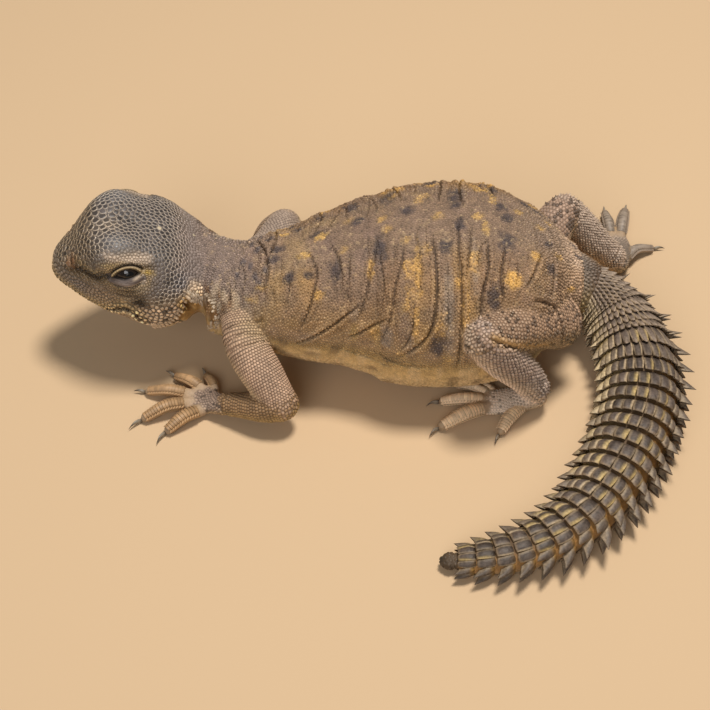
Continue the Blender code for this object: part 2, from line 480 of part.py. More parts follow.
def claw(name, toe, r, bend):
    """Curved claw that starts at the gap after the toe's end and comes down to the floor."""
    K = by_length([p for p in toe])
    d = unit(np.array(toe[2]) - np.array(toe[1]))
    flat = unit(np.array([*bend, 0.0]))
    d = unit(d + flat * 0.6)
    end = np.array(toe[2]) + unit(np.array(toe[2]) - np.array(toe[1])) * (r * 0.86 * 0.92 + GAP)
    reach = math.hypot(*bend)
    pts, rad = [], []
    for q in (0.0, 0.5, 1.0):
        p = end + d * reach * 0.55 * q * (1.2 - 0.2 * q) + flat * reach * 0.45 * q * q
        p[2] = end[2] + 0.30 * math.sin(q * 2.4) - (end[2] - 0.22) * q * q
        pts.append(p)
        rad.append(CLAW_R * (1 - 0.55 * q ** 1.3))
    C = np.array(pts)
    T, side, up = frames(C)
    two = np.full(3, 2.0)
    R = section(C, side, up, np.array(rad) * 0.85, rad, rad, two, two, 5, math.pi / 2)
    return loft(name, R, "claw")

LIMBS = {
    "arm_left": (ARM_L, FOREARM_L, HAND_L, "upper_arm_left", "forearm_left", "hand_left"),
    "arm_right": (ARM_R, FOREARM_R, HAND_R, "upper_arm_right", "forearm_right", "hand_right"),
    "leg_left": (THIGH_L, SHIN_L, FOOT_L, "thigh_left", "shin_left", "foot_left"),
    "leg_right": (THIGH_R, SHIN_R, FOOT_R, "thigh_right", "shin_right", "foot_right"),
}
for key, (upper, lower, end, n_up, n_low, n_end) in LIMBS.items():
    up_ob = limb(n_up, upper, "limb_skin", count=10, steps=4, ends=(False, True))
    low_ob = limb(n_low, lower, "limb_skin", count=10, steps=4)
    end_ob = limb(n_end, end, "foot_skin", count=9, steps=3)
    boolean(up_ob, bigger("room_" + n_low, lower, count=10, steps=4), "DIFFERENCE")
    boolean(low_ob, bigger("room_" + n_end, end, count=9, steps=3), "DIFFERENCE")
    for i, (b, k, t, r, bend) in enumerate(TOES[n_end]):
        toe = toe_keys(b, k, t, r)
        boolean(end_ob, tool(limb("toe_%s_%d" % (n_end, i + 1), toe, "foot_skin", count=6, steps=3, ends=(False, True), start=math.pi / 2)), "UNION")
        claw("claw_%s_%d" % (n_end, i + 1), (b, k, t), r, bend)
    body = {"arm_left": (chest,), "arm_right": (chest,), "leg_left": (hips, belly), "leg_right": (hips,)}[key]
    for ob in body:
        boolean(ob, bigger("seat_%s_%s" % (n_up, ob.name), upper, count=10, steps=4), "DIFFERENCE")
    if key == "leg_left":
        for ob in (belly, hips):
            boolean(ob, bigger("seat_shin_left_" + ob.name, lower, count=10, steps=4), "DIFFERENCE")
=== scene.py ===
"""Looks of the young spiny-tailed lizard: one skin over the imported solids, its scales, eyes and claws.

All tables are in millimetres in the model's own table frame; meshes are written in metres.
"""

import math
import time

import bmesh
import bpy
import numpy as np
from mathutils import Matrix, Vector
from mathutils.bvhtree import BVHTree
from mathutils.kdtree import KDTree


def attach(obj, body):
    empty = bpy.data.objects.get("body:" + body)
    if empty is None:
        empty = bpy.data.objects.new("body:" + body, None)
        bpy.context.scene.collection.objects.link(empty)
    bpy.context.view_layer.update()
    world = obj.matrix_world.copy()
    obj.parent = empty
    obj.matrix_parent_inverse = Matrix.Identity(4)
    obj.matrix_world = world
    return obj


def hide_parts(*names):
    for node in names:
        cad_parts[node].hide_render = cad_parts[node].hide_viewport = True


T0 = time.time()
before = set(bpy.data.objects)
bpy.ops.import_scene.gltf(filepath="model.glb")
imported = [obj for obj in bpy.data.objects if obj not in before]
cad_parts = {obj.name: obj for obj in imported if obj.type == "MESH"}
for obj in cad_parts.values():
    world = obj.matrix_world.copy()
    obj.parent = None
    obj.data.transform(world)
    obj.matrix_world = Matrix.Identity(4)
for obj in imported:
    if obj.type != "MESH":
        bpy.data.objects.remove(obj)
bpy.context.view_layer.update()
NODES = sorted(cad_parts)

MM = 0.001
SHIFT = np.array([-3.54, 4.48, 0.0])
VOXEL = 0.26

def tick(text):
    print("%6.1f s  %s" % (time.time() - T0, text), flush=True)

# ------------------------------------------------------------------ driving tables, as in the solids
HEAD_AT = (-48.0, 3.65, 15.1)
HEAD_YAW, HEAD_PITCH, HEAD_ROLL = 7.4, -5.4, 4.0
HEAD_MID = 2.6
HEAD = [(0.0, 1.2, 2.9, 1.4, 2.0, 2.0), (0.35, 2.2, 4.0, 0.5, 2.0, 2.0), (1.2, 3.4, 5.2, -0.5, 2.1, 2.0),
        (2.6, 4.65, 6.7, -1.2, 2.2, 2.0), (4.5, 6.2, 9.5, -2.2, 2.6, 2.1), (6.8, 7.9, 11.4, -3.2, 2.9, 2.1),
        (9.2, 9.2, 11.8, -4.2, 3.0, 2.2), (11.6, 10.1, 11.4, -5.1, 2.9, 2.2), (14.0, 10.9, 10.9, -6.1, 2.7, 2.2),
        (16.5, 11.3, 10.3, -6.7, 2.4, 2.2), (19.0, 10.8, 9.2, -6.8, 2.2, 2.1), (21.0, 9.7, 7.8, -6.6, 2.0, 2.0),
        (23.0, 8.4, 6.2, -6.2, 2.0, 2.0)]
HEAD_LENGTH = 23.0
HEAD_FORMS = [(9.8, 5.8, 10.0, 3.4, 2.6, 3.0, 0.95), (11.5, 0.0, 11.2, 4.0, 1.8, 2.5, -0.45),
              (5.2, 4.2, 5.2, 2.4, 1.6, 1.8, -0.35), (2.6, 2.9, 4.9, 1.1, 1.1, 1.0, 0.35),
              (16.6, 10.4, 1.0, 3.2, 3.0, 4.0, 0.55), (8.8, 8.6, 3.4, 3.2, 2.0, 1.6, -0.35),
              (18.0, 6.2, 8.2, 2.8, 2.4, 2.4, 0.35)]
EYE_AT = (11.6, 6.75, 6.9)
EYE_R = 2.70
LID_R = 3.36
MOUTH = [(-1.5, 1.0), (0.0, 0.95), (2.0, 0.35), (5.0, -0.55), (7.6, -0.75), (9.0, 0.0), (10.2, 1.1), (11.3, 1.45),
         (12.4, 0.9), (13.6, -0.3), (15.2, -2.0)]
BODY = [(-27.4, 5.9, 14.4, 9.0, 7.8, 7.6, 2.0, 2.0), (-23.9, 4.0, 13.1, 8.0, 6.4, 7.3, 2.0, 2.0),
        (-20.4, 2.5, 12.7, 8.2, 6.7, 7.2, 2.0, 2.0), (-16.3, 1.3, 13.1, 9.4, 7.6, 7.8, 2.0, 2.1),
        (-12.5, 1.0, 13.3, 10.8, 8.8, 8.6, 2.0, 2.1), (-8.7, 1.1, 13.3, 12.0, 9.8, 9.5, 2.0, 2.1),
        (-1.9, 2.3, 13.0, 14.4, 11.4, 11.3, 2.0, 2.1), (3.8, 3.0, 13.0, 16.6, 12.8, 13.7, 2.0, 2.1),
        (9.4, 3.1, 13.2, 18.2, 14.0, 14.2, 2.0, 2.1), (15.2, 3.4, 13.2, 18.6, 14.2, 14.2, 2.0, 2.1),
        (20.4, 4.0, 13.0, 17.9, 14.0, 14.0, 2.0, 2.1), (24.9, 5.0, 12.0, 15.9, 12.6, 11.9, 2.0, 2.1),
        (28.4, 5.7, 11.0, 13.0, 10.9, 10.0, 2.0, 2.1), (32.0, 6.1, 10.0, 9.3, 8.4, 7.8, 2.0, 2.0),
        (36.0, 6.4, 9.0, 6.7, 6.3, 6.0, 2.0, 2.0)]
NECK_END = -21.4
TAIL = [(34.0, 6.5, 9.5), (36.2, 6.4, 8.8), (39.2, 5.5, 7.7), (41.9, 3.2, 6.6), (44.0, -1.4, 5.6), (45.0, -7.2, 5.1),
        (44.6, -13.6, 4.8), (42.9, -20.1, 4.5), (40.4, -25.8, 4.2), (36.9, -31.8, 3.8), (32.7, -37.0, 3.4),
        (27.5, -40.7, 3.0), (22.6, -42.6, 2.5), (17.8, -43.4, 2.05), (13.4, -43.3, 1.45), (12.2, -43.2, 1.3)]
WHORLS = 25
TAIL_PLAIN = 0.050
TAIL_WIDTH = [(0.00, 6.9), (0.05, 7.2), (0.12, 8.0), (0.20, 8.3), (0.35, 8.0), (0.50, 7.4), (0.60, 6.6), (0.70, 5.7),
              (0.80, 4.9), (0.88, 4.3), (0.94, 3.4), (1.00, 1.9)]
TAIL_FLAT = [(0.0, 0.92), (0.10, 0.80), (0.25, 0.70), (1.0, 0.74)]
ARM_L = [(-17.4, -5.4, 13.6, 3.5), (-16.8, -9.4, 11.8, 3.4), (-14.1, -13.2, 8.5, 3.25), (-11.6, -15.6, 5.3, 2.7)]
FOREARM_L = [(-11.4, -15.7, 5.0, 2.8), (-14.0, -15.6, 4.4, 2.6), (-17.4, -14.6, 3.5, 2.1), (-20.2, -13.6, 2.7, 1.75)]
HAND_L = [(-20.6, -13.5, 2.4, 1.8, 1.5), (-22.4, -12.4, 1.7, 2.2, 1.25), (-24.4, -11.5, 1.2, 2.9, 1.15), (-26.4, -11.2, 0.95, 2.4, 0.9)]
ARM_R = [(-15.4, 7.6, 13.6, 4.0), (-13.9, 12.2, 12.6, 3.4), (-12.7, 16.8, 11.6, 3.2), (-12.0, 20.9, 10.1, 2.95)]
FOREARM_R = [(-12.0, 21.2, 9.9, 3.0), (-14.0, 21.8, 8.0, 2.75), (-16.4, 22.2, 4.6, 2.1), (-18.3, 22.3, 2.9, 1.75)]
HAND_R = [(-18.6, 22.3, 2.5, 1.75, 1.5), (-20.2, 22.3, 1.7, 2.1, 1.25), (-22.0, 22.1, 1.15, 2.6, 1.1), (-23.8, 21.8, 0.9, 2.2, 0.85)]
THIGH_L = [(32.0, -2.6, 10.4, 4.6), (28.4, -6.8, 13.6, 3.95), (24.0, -11.0, 16.6, 3.6), (19.4, -14.6, 18.2, 3.05)]
SHIN_L = [(19.2, -14.8, 18.0, 3.15), (21.8, -14.4, 14.2, 3.1), (25.8, -12.9, 8.8, 2.8), (28.3, -11.8, 4.4, 2.3)]
FOOT_L = [(28.6, -11.4, 2.4, 2.2, 1.9), (26.0, -11.8, 2.0, 2.3, 1.7), (23.2, -12.0, 1.5, 2.6, 1.45), (20.8, -12.1, 1.1, 2.3, 1.05)]
THIGH_R = [(31.0, 12.6, 9.8, 4.4), (32.0, 15.6, 11.8, 3.9), (33.6, 18.4, 13.2, 3.4), (35.1, 20.7, 13.5, 2.95)]
SHIN_R = [(35.2, 20.8, 13.4, 3.0), (37.7, 20.8, 10.8, 2.9), (41.4, 20.5, 6.8, 2.6), (44.6, 20.2, 3.7, 2.2)]
FOOT_R = [(45.3, 20.2, 2.4, 2.2, 1.9), (45.9, 22.6, 2.0, 2.3, 1.7), (46.1, 25.2, 1.5, 2.6, 1.45), (46.2, 27.6, 1.1, 2.4, 1.05)]
TOES = {
    "hand_left": [((-22.2, -9.6, 1.5), (-23.0, -7.6, 1.5), (-24.0, -5.4, .75), .72, (-.7, 1.3)),
                  ((-24.0, -9.6, 1.4), (-26.2, -7.7, 1.7), (-28.7, -5.7, .8), .88, (-1.4, 1.0)),
                  ((-25.6, -10.4, 1.3), (-29.6, -9.7, 1.8), (-33.0, -9.0, .8), .95, (-1.6, .1)),
                  ((-25.6, -12.0, 1.3), (-29.9, -13.3, 1.8), (-33.0, -14.8, .85), 1.05, (-1.2, -2.0)),
                  ((-23.8, -13.4, 1.3), (-26.9, -15.5, 1.7), (-29.1, -17.3, .85), 1.05, (-.4, -2.3))],
    "hand_right": [((-20.2, 20.8, 1.5), (-21.2, 19.0, 1.5), (-22.4, 17.4, .75), .72, (-.9, -1.0)),
                   ((-22.0, 21.0, 1.4), (-24.4, 19.5, 1.7), (-26.8, 18.2, .75), .80, (-1.4, -.4)),
                   ((-23.2, 21.8, 1.3), (-26.3, 21.2, 1.8), (-29.2, 20.4, .75), .90, (-1.5, -.1)),
                   ((-23.2, 22.8, 1.3), (-26.2, 23.2, 1.8), (-29.0, 23.3, .75), .95, (-1.5, .4)),
                   ((-21.4, 23.6, 1.3), (-23.2, 24.9, 1.6), (-24.9, 25.9, .75), .90, (-1.2, .9))],
    "foot_left": [((22.6, -10.4, 1.6), (21.0, -8.6, 1.4), (19.6, -6.8, .75), .70, (-.9, 1.1)),
                  ((21.8, -10.8, 1.5), (19.0, -8.9, 1.6), (16.3, -7.3, .75), .80, (-1.4, .5)),
                  ((21.4, -11.6, 1.4), (17.2, -11.6, 1.8), (14.0, -11.2, .8), .98, (-1.4, -1.5)),
                  ((21.2, -13.0, 1.4), (17.2, -15.0, 1.9), (13.8, -16.5, .85), 1.12, (-.8, -2.0)),
                  ((27.0, -12.6, 1.7), (24.3, -15.4, 1.6), (22.8, -17.6, .8), 1.0, (-.2, -1.8))],
    "foot_right": [((44.6, 25.2, 1.6), (42.6, 26.4, 1.5), (41.2, 27.4, .75), .70, (-1.0, .9)),
                   ((45.0, 26.6, 1.5), (43.4, 29.6, 1.7), (42.4, 32.2, .75), .80, (-.5, 1.5)),
                   ((45.6, 27.6, 1.4), (45.4, 31.8, 1.8), (45.4, 35.4, .75), .88, (.1, 1.7)),
                   ((47.0, 27.4, 1.4), (48.0, 32.0, 1.9), (49.0, 35.9, .75), .95, (.5, 1.7)),
                   ((46.8, 21.2, 1.7), (49.6, 24.6, 1.7), (52.4, 25.9, .85), .85, (1.7, -.4))],
}
CLAW_R = 0.42

# ------------------------------------------------------------------ curves and sections
def smooth(keys, t):
    K = np.asarray(keys, float)
    x, v = K[:, 0], K[:, 1:]
    h = np.diff(x)[:, None]
    s = np.diff(v, axis=0) / h
    m = np.zeros_like(v)
    m[0], m[-1] = s[0], s[-1]
    w1, w2 = 2 * h[1:] + h[:-1], h[1:] + 2 * h[:-1]
    ok = s[:-1] * s[1:] > 0
    m[1:-1] = np.where(ok, (w1 + w2) / (w1 / np.where(ok, s[:-1], 1) + w2 / np.where(ok, s[1:], 1)), 0)
    return hermite(x, v, m, t)

def flow(keys, t):
    K = np.asarray(keys, float)
    return hermite(K[:, 0], K[:, 1:], np.gradient(K[:, 1:], K[:, 0], axis=0), t)

def hermite(x, v, m, t):
    t = np.asarray(t, float)
    i = np.clip(np.searchsorted(x, t, side="right") - 1, 0, len(x) - 2)
    h = (x[i + 1] - x[i])[:, None]
    u = (t - x[i])[:, None] / h
    return ((1 + 2 * u) * (1 - u) ** 2 * v[i] + u * (1 - u) ** 2 * h * m[i]
            + u * u * (3 - 2 * u) * v[i + 1] + u * u * (u - 1) * h * m[i + 1])

def by_length(points):
    P = np.asarray(points, float)
    s = np.concatenate([[0], np.cumsum(np.linalg.norm(np.diff(P[:, :3], axis=0), axis=1))])
    return np.column_stack([s, P])

def unit(v):
    v = np.asarray(v, float)
    return v / np.maximum(np.linalg.norm(v, axis=-1, keepdims=True), 1e-12)

def frames(C, up=(0, 0, 1)):
    T = unit(np.gradient(C, axis=0))
    side = unit(np.cross(T, np.asarray(up, float)))
    return T, side, np.cross(side, T)

def section(C, side, up, a, bu, bd, nu, nd, count, start=0.0):
    phi = start + np.arange(count) * 2 * math.pi / count
    c, s = np.cos(phi)[None, :], np.sin(phi)[None, :]
    n = np.where(s >= 0, np.reshape(nu, (-1, 1)), np.reshape(nd, (-1, 1)))
    l = np.sign(c) * np.abs(c) ** (2 / n) * np.reshape(a, (-1, 1))
    h = np.sign(s) * np.abs(s) ** (2 / n)
    h = h * np.where(s >= 0, np.reshape(bu, (-1, 1)), np.reshape(bd, (-1, 1)))
    return C[:, None] + l[..., None] * side[:, None] + h[..., None] * up[:, None]

def smoothstep(a, b, x):
    t = np.clip((np.asarray(x, float) - a) / (b - a), 0, 1)
    return t * t * (3 - 2 * t)

def bump(x, w):
    return np.exp(-(np.asarray(x, float) / w) ** 2)

# ------------------------------------------------------------------ repeatable noise
def hash01(i, seed=0):
    n = np.asarray(i, np.int64) * 1103515245 + 12345 + int(seed) * 7919
    n = (n ^ (n >> 13)) & 0x7fffffff
    n = (n * 1274126177) & 0x7fffffff
    n = (n ^ (n >> 15)) & 0x7fffffff
    return (n & 0xffff) / 65535.0

def vnoise(P, size, seed=0):
    """Smooth noise in -1..1 with features of the given size in millimetres."""
    Q = np.asarray(P, float) / size + seed * 3.7
    I = np.floor(Q).astype(np.int64)
    f = Q - I
    f = f * f * (3 - 2 * f)
    out = 0
    for dx in (0, 1):
        for dy in (0, 1):
            for dz in (0, 1):
                key = ((I[:, 0] + dx) * 73856093) ^ ((I[:, 1] + dy) * 19349663) ^ ((I[:, 2] + dz) * 83492791)
                w = (f[:, 0] if dx else 1 - f[:, 0]) * (f[:, 1] if dy else 1 - f[:, 1]) * (f[:, 2] if dz else 1 - f[:, 2])
                out = out + w * (hash01(key, seed) * 2 - 1)
    return out

def fbm(P, size, seed=0, octaves=3):
    return sum(vnoise(P, size / 2 ** k, seed + k) * 0.5 ** k for k in range(octaves)) / 1.6

# ------------------------------------------------------------------ head
def head_axes():
    a, p, r = (math.radians(v) for v in (HEAD_YAW, HEAD_PITCH, HEAD_ROLL))
    f = np.array([-math.cos(a), -math.sin(a), 0])
    l = np.array([math.sin(a), -math.cos(a), 0])
    u = np.array([0, 0, 1.0])
    f, u = f * math.cos(p) - u * math.sin(p), u * math.cos(p) + f * math.sin(p)
    return f, l * math.cos(r) - u * math.sin(r), u * math.cos(r) + l * math.sin(r)

HF, HL, HU = head_axes()

def head_point(d, l, u):
    d, l, u = (np.asarray(v, float)[..., None] for v in (d, l, u))
    return np.array(HEAD_AT) - d * HF + l * HL + u * HU

def head_coords(P):
    Q = np.asarray(P, float) - np.array(HEAD_AT)
    return -(Q @ HF), Q @ HL, Q @ HU

def head_forms(d, l, u):
    push = np.zeros_like(d)
    for fd, fl, fu, rd, rl, ru, rise in HEAD_FORMS:
        for sgn in ((1, -1) if fl else (1,)):
            push += rise * np.exp(-((d - fd) / rd) ** 2 - ((l - sgn * fl) / rl) ** 2 - ((u - fu) / ru) ** 2)
    r = np.sqrt(l * l + (u - HEAD_MID) ** 2) + 1e-9
    return d, l + push * l / r, u + push * (u - HEAD_MID) / r

def head_rings(ds, count, grow=0.0):
    V = smooth(HEAD, ds)
    phi = np.arange(count) * 2 * math.pi / count
    c, s = np.cos(phi)[None], np.sin(phi)[None]
    n = np.where(s >= 0, V[:, 3:4], V[:, 4:5])
    l = np.sign(c) * np.abs(c) ** (2 / n) * V[:, 0:1]
    h = np.sign(s) * np.abs(s) ** (2 / n)
    u = HEAD_MID + h * np.where(s >= 0, V[:, 1:2] - HEAD_MID, HEAD_MID - V[:, 2:3])
    d = np.repeat(np.asarray(ds, float)[:, None], count, 1)
    d, l, u = head_forms(d, l, u)
    r = np.sqrt(l * l + (u - HEAD_MID) ** 2) + 1e-9
    return head_point(d, l * (1 + grow / r), u + grow * (u - HEAD_MID) / r)

def eye_frame(sgn):
    out = unit(0.16 * HF + sgn * 0.94 * HL + 0.30 * HU)
    at = head_point(EYE_AT[0], sgn * EYE_AT[1], EYE_AT[2])
    along = unit(HF - out * (HF @ out))
    above = np.cross(along, out)
    if above @ HU < 0:
        above = -above
    return at, along, above, out

# ------------------------------------------------------------------ trunk, tail and limb lines
BODY_LINE = np.array(BODY)
def body_rings(xs, count, grow=0.0):
    K = BODY_LINE
    V = smooth(K, xs)
    fine = np.linspace(K[0, 0], K[-1, 0], 200)
    FV = smooth(K, fine)
    FT = np.gradient(np.column_stack([fine, FV[:, :2]]), axis=0)
    FT[:, 1:] *= np.interp(fine, [-18.0, -4.0], [0.5, 1.0])[:, None]
    T = unit(np.column_stack([np.interp(xs, fine, FT[:, k]) for k in range(3)]))
    C = np.column_stack([xs, V[:, :2]])
    roll = np.radians(np.interp(xs, [-27.0, -17.0], [HEAD_ROLL, 0.0]))
    side = unit(np.cross(T, [0, 0, 1.0]))
    up = np.cross(side, T)
    s2 = side * np.cos(roll)[:, None] - up * np.sin(roll)[:, None]
    u2 = up * np.cos(roll)[:, None] + side * np.sin(roll)[:, None]
    return section(C, s2, u2, V[:, 2] + grow, V[:, 3] + grow, V[:, 4] + grow, V[:, 5], V[:, 6], count)

def body_coords(P):
    """x and angle round the trunk: 0 on its left flank, 90 on the back, -90 under the belly."""
    V = smooth(BODY_LINE, np.clip(P[:, 0], BODY_LINE[0, 0], BODY_LINE[-1, 0]))
    h = P[:, 2] - V[:, 1]
    b = np.where(h > 0, V[:, 3], V[:, 4])
    return P[:, 0], np.degrees(np.arctan2(h / b, -(P[:, 1] - V[:, 0]) / V[:, 2]))

TAIL_LINE = by_length(TAIL)
TAIL_LONG = TAIL_LINE[-1, 0]
TAIL_START = TAIL_LONG * TAIL_PLAIN

def tail_at(s):
    s = np.atleast_1d(np.asarray(s, float))
    C = flow(TAIL_LINE, np.clip(s, 0, TAIL_LONG))
    T = unit(flow(TAIL_LINE, np.minimum(s + 0.2, TAIL_LONG)) - flow(TAIL_LINE, np.maximum(np.minimum(s, TAIL_LONG - 0.1) - 0.2, 0)))
    C = C + T * (s - np.clip(s, 0, TAIL_LONG))[:, None]
    side = unit(np.cross(T, [0, 0, 1.0]))
    return C, T, side, np.cross(side, T)

def whorl_start(k):
    q = k / WHORLS
    return TAIL_START + (TAIL_LONG - TAIL_START) * (q * 1.10 - 0.10 * q * q)

def tail_share(s):
    return (np.asarray(s, float) - TAIL_START) / (TAIL_LONG - TAIL_START)

def tail_half(s):
    return np.interp(tail_share(s), [a for a, _ in TAIL_WIDTH], [b for _, b in TAIL_WIDTH]) / 1.24

def tail_flat(s):
    return np.interp(tail_share(s), [a for a, _ in TAIL_FLAT], [b for _, b in TAIL_FLAT])

def tail_points(s, phi, k):
    """Points on the tail at running length s, angle phi (radians) and share k of its half width."""
    s, phi, k = np.broadcast_arrays(np.asarray(s, float), np.asarray(phi, float), np.asarray(k, float))
    shape = s.shape
    s, phi, k = s.ravel(), phi.ravel(), k.ravel()
    C, T, side, up = tail_at(s)
    W, F = tail_half(s), tail_flat(s)
    c, sn = np.cos(phi), np.sin(phi)
    l = W * k * np.sign(c) * np.abs(c) ** 0.95
    h = W * F * k * np.sign(sn) * np.abs(sn) ** 0.95 * np.where(sn < 0, 1.05, 1.0)
    return (C + side * l[:, None] + up * h[:, None]).reshape(shape + (3,))

class Tube:
    """A limb, toe or tail line with its frames, sampled finely."""
    def __init__(self, keys, grow=0.0, steps=40):
        K = by_length(keys)
        K = np.column_stack([K, K[:, -1]]) if K.shape[1] == 5 else K
        self.long = K[-1, 0]
        self.s = np.linspace(0, self.long, steps)
        V = flow(K, self.s)
        self.C, self.a, self.b = V[:, :3], V[:, 3] + grow, V[:, 4] + grow
        self.T, self.side, self.up = frames(self.C)

    def at(self, s):
        s = np.asarray(s, float)
        q = np.clip(s, 0, self.long)
        pick = lambda A: np.column_stack([np.interp(q, self.s, A[:, k]) for k in range(3)])
        C, T, side, up = pick(self.C), unit(pick(self.T)), unit(pick(self.side)), unit(pick(self.up))
        return C + T * (s - q)[:, None], T, side, up, np.interp(q, self.s, self.a), np.interp(q, self.s, self.b)

    def points(self, s, phi, k=1.0):
        s, phi, k = np.broadcast_arrays(np.asarray(s, float), np.asarray(phi, float), np.asarray(k, float))
        shape = s.shape
        s, phi, k = s.ravel(), phi.ravel(), k.ravel()
        C, T, side, up, a, b = self.at(s)
        return (C + side * (a * k * np.cos(phi))[:, None] + up * (b * k * np.sin(phi))[:, None]).reshape(shape + (3,))

    def coords(self, P):
        """Running length, angle (radians) and share of the radius of each point."""
        best = np.empty(len(P), int)
        for i in range(0, len(P), 20000):
            D = ((P[i:i + 20000, None] - self.C[None]) ** 2).sum(2)
            best[i:i + 20000] = D.argmin(1)
        Q = P - self.C[best]
        s = self.s[best] + (Q * self.T[best]).sum(1)
        l = (Q * self.side[best]).sum(1) / self.a[best]
        h = (Q * self.up[best]).sum(1) / self.b[best]
        return s, np.arctan2(h, l), np.sqrt(l * l + h * h)

    def rings(self, count, ends=(True, True)):
        """Sections with rounded ends."""
        n = len(self.s)
        C, a, b, side, up = [list(v) for v in (self.C, self.a, self.b, self.side, self.up)]
        qs = (0.35, 0.65, 0.85, 0.97)
        if ends[0]:
            r = min(a[0], b[0])
            for q in qs:
                e = math.sqrt(1 - q * q)
                C.insert(0, self.C[0] - self.T[0] * r * q); a.insert(0, self.a[0] * e); b.insert(0, self.b[0] * e)
                side.insert(0, self.side[0]); up.insert(0, self.up[0])
        if ends[1]:
            r = min(self.a[-1], self.b[-1])
            for q in qs:
                e = math.sqrt(1 - q * q)
                C.append(self.C[-1] + self.T[-1] * r * q); a.append(self.a[-1] * e); b.append(self.b[-1] * e)
                side.append(self.side[-1]); up.append(self.up[-1])
        two = np.full(len(C), 2.0)
        return section(np.array(C), np.array(side), np.array(up), np.array(a), np.array(b), np.array(b), two, two, count)

def toe_keys(base, knuckle, tip, r):
    return [(*base, r * 1.02, r * 0.98), (*knuckle, r * 1.05, r * 0.98), (tip[0], tip[1], min(tip[2], r * 0.80), r * 0.80, r * 0.86)]

LIMBS = {"upper_arm_left": ARM_L, "forearm_left": FOREARM_L, "hand_left": HAND_L,
         "upper_arm_right": ARM_R, "forearm_right": FOREARM_R, "hand_right": HAND_R,
         "thigh_left": THIGH_L, "shin_left": SHIN_L, "foot_left": FOOT_L,
         "thigh_right": THIGH_R, "shin_right": SHIN_R, "foot_right": FOOT_R}
TUBES = {name: Tube(keys, -0.10, 28) for name, keys in LIMBS.items()}
for part, toes in TOES.items():
    for i, (b, k, t, r, bend) in enumerate(toes):
        TUBES["toe_%s_%d" % (part, i + 1)] = Tube(toe_keys(b, k, t, r), -0.05, 18)

# ------------------------------------------------------------------ the joined skin
SOURCES = []                       # name, vertices
SKIN_V, SKIN_F, SKIN_SRC = [], [], []

def add_loft(name, rings):
    R = np.asarray(rings, float)
    m, n = R.shape[:2]
    V = np.vstack([R.reshape(-1, 3), R[0].mean(0), R[-1].mean(0)])
    i, j = np.meshgrid(np.arange(m - 1), np.arange(n), indexing="ij")
    i, j = i.ravel(), j.ravel()
    k = (j + 1) % n
    quads = np.column_stack([i * n + j, i * n + k, (i + 1) * n + k, (i + 1) * n + j])
    j = np.arange(n)
    k = (j + 1) % n
    tris = np.vstack([np.column_stack([np.full(n, m * n), k, j]),
                      np.column_stack([np.full(n, m * n + 1), (m - 1) * n + j, (m - 1) * n + k])])
    # turn the faces so that they point outwards
    c = V.mean(0)
    vol = 0.0
    for a, b, d in ((0, 1, 2), (0, 2, 3)):
        A, B, D = V[quads[:, a]] - c, V[quads[:, b]] - c, V[quads[:, d]] - c
        vol += (A * np.cross(B, D)).sum()
    if vol < 0:
        quads, tris = quads[:, ::-1], tris[:, ::-1]
    base = sum(len(v) for v in SKIN_V)
    if name not in SOURCES:
        SOURCES.append(name)
    SKIN_V.append(V)
    SKIN_F.append((quads + base, tris + base))
    SKIN_SRC.append(np.full(len(V), SOURCES.index(name)))

ds = np.concatenate([[0.02, 0.10, 0.22, 0.38, 0.6, 0.85, 1.15], np.linspace(1.5, 22.95, 56)])
add_loft("head", head_rings(ds, 96, -0.12))
for sgn in (1, -1):
    at, along, above, out = eye_frame(sgn)
    th = np.linspace(0, math.pi, 26)[1:-1]
    ph = np.arange(36) * 2 * math.pi / 36
    ball = at + out * 0.10 + LID_R * (np.sin(th)[:, None, None] * (np.cos(ph)[None, :, None] * along + np.sin(ph)[None, :, None] * above)
                                     + np.cos(th)[:, None, None] * out)
    add_loft("head", ball)
first, last = head_rings([23.05], 96, -0.12)[0], body_rings(np.array([NECK_END]), 96, -0.12)[0]
shrink = lambda ring, k: ring.mean(0) + (ring - ring.mean(0)) * k
neck = [shrink(head_rings([22.0], 96, -0.12)[0], 0.93), shrink(head_rings([22.5], 96, -0.12)[0], 0.985)]
for q in np.linspace(0, 1, 16):
    ring = first * (1 - q) + last * q
    neck.append(shrink(ring, 1 - 0.05 * math.sin(math.pi * q)))
neck += [shrink(body_rings(np.array([NECK_END + 0.7]), 96, -0.12)[0], 0.985), shrink(body_rings(np.array([NECK_END + 1.4]), 96, -0.12)[0], 0.94)]
add_loft("neck", neck)
add_loft("body", body_rings(np.linspace(NECK_END, 34.7, 150), 128, -0.14))
ts = np.concatenate([[-0.8, -0.3], np.linspace(0, TAIL_LONG, 150)])
kk = np.interp(ts, [0, 1.3, TAIL_START, TAIL_START + 1.5], [1.15, 1.11, 0.97, 0.84]) * np.interp(ts, [-0.8, -0.3, 0.2], [0.8, 0.95, 1.0])
tail_phi = np.arange(64) * 2 * math.pi / 64
add_loft("tail", tail_points(ts[:, None], tail_phi[None], kk[:, None]))
for name, tube in TUBES.items():
    small = name.startswith("toe")
    add_loft(name, tube.rings(20 if small else 36, (not small and name.split("_")[0] in ("forearm", "shin", "hand", "foot"), True)))

V = np.vstack(SKIN_V)
V[:, 2] = np.maximum(V[:, 2], 0.02)
SRC = np.concatenate(SKIN_SRC)
quads = np.vstack([q for q, _ in SKIN_F])
tris = np.vstack([t for _, t in SKIN_F])

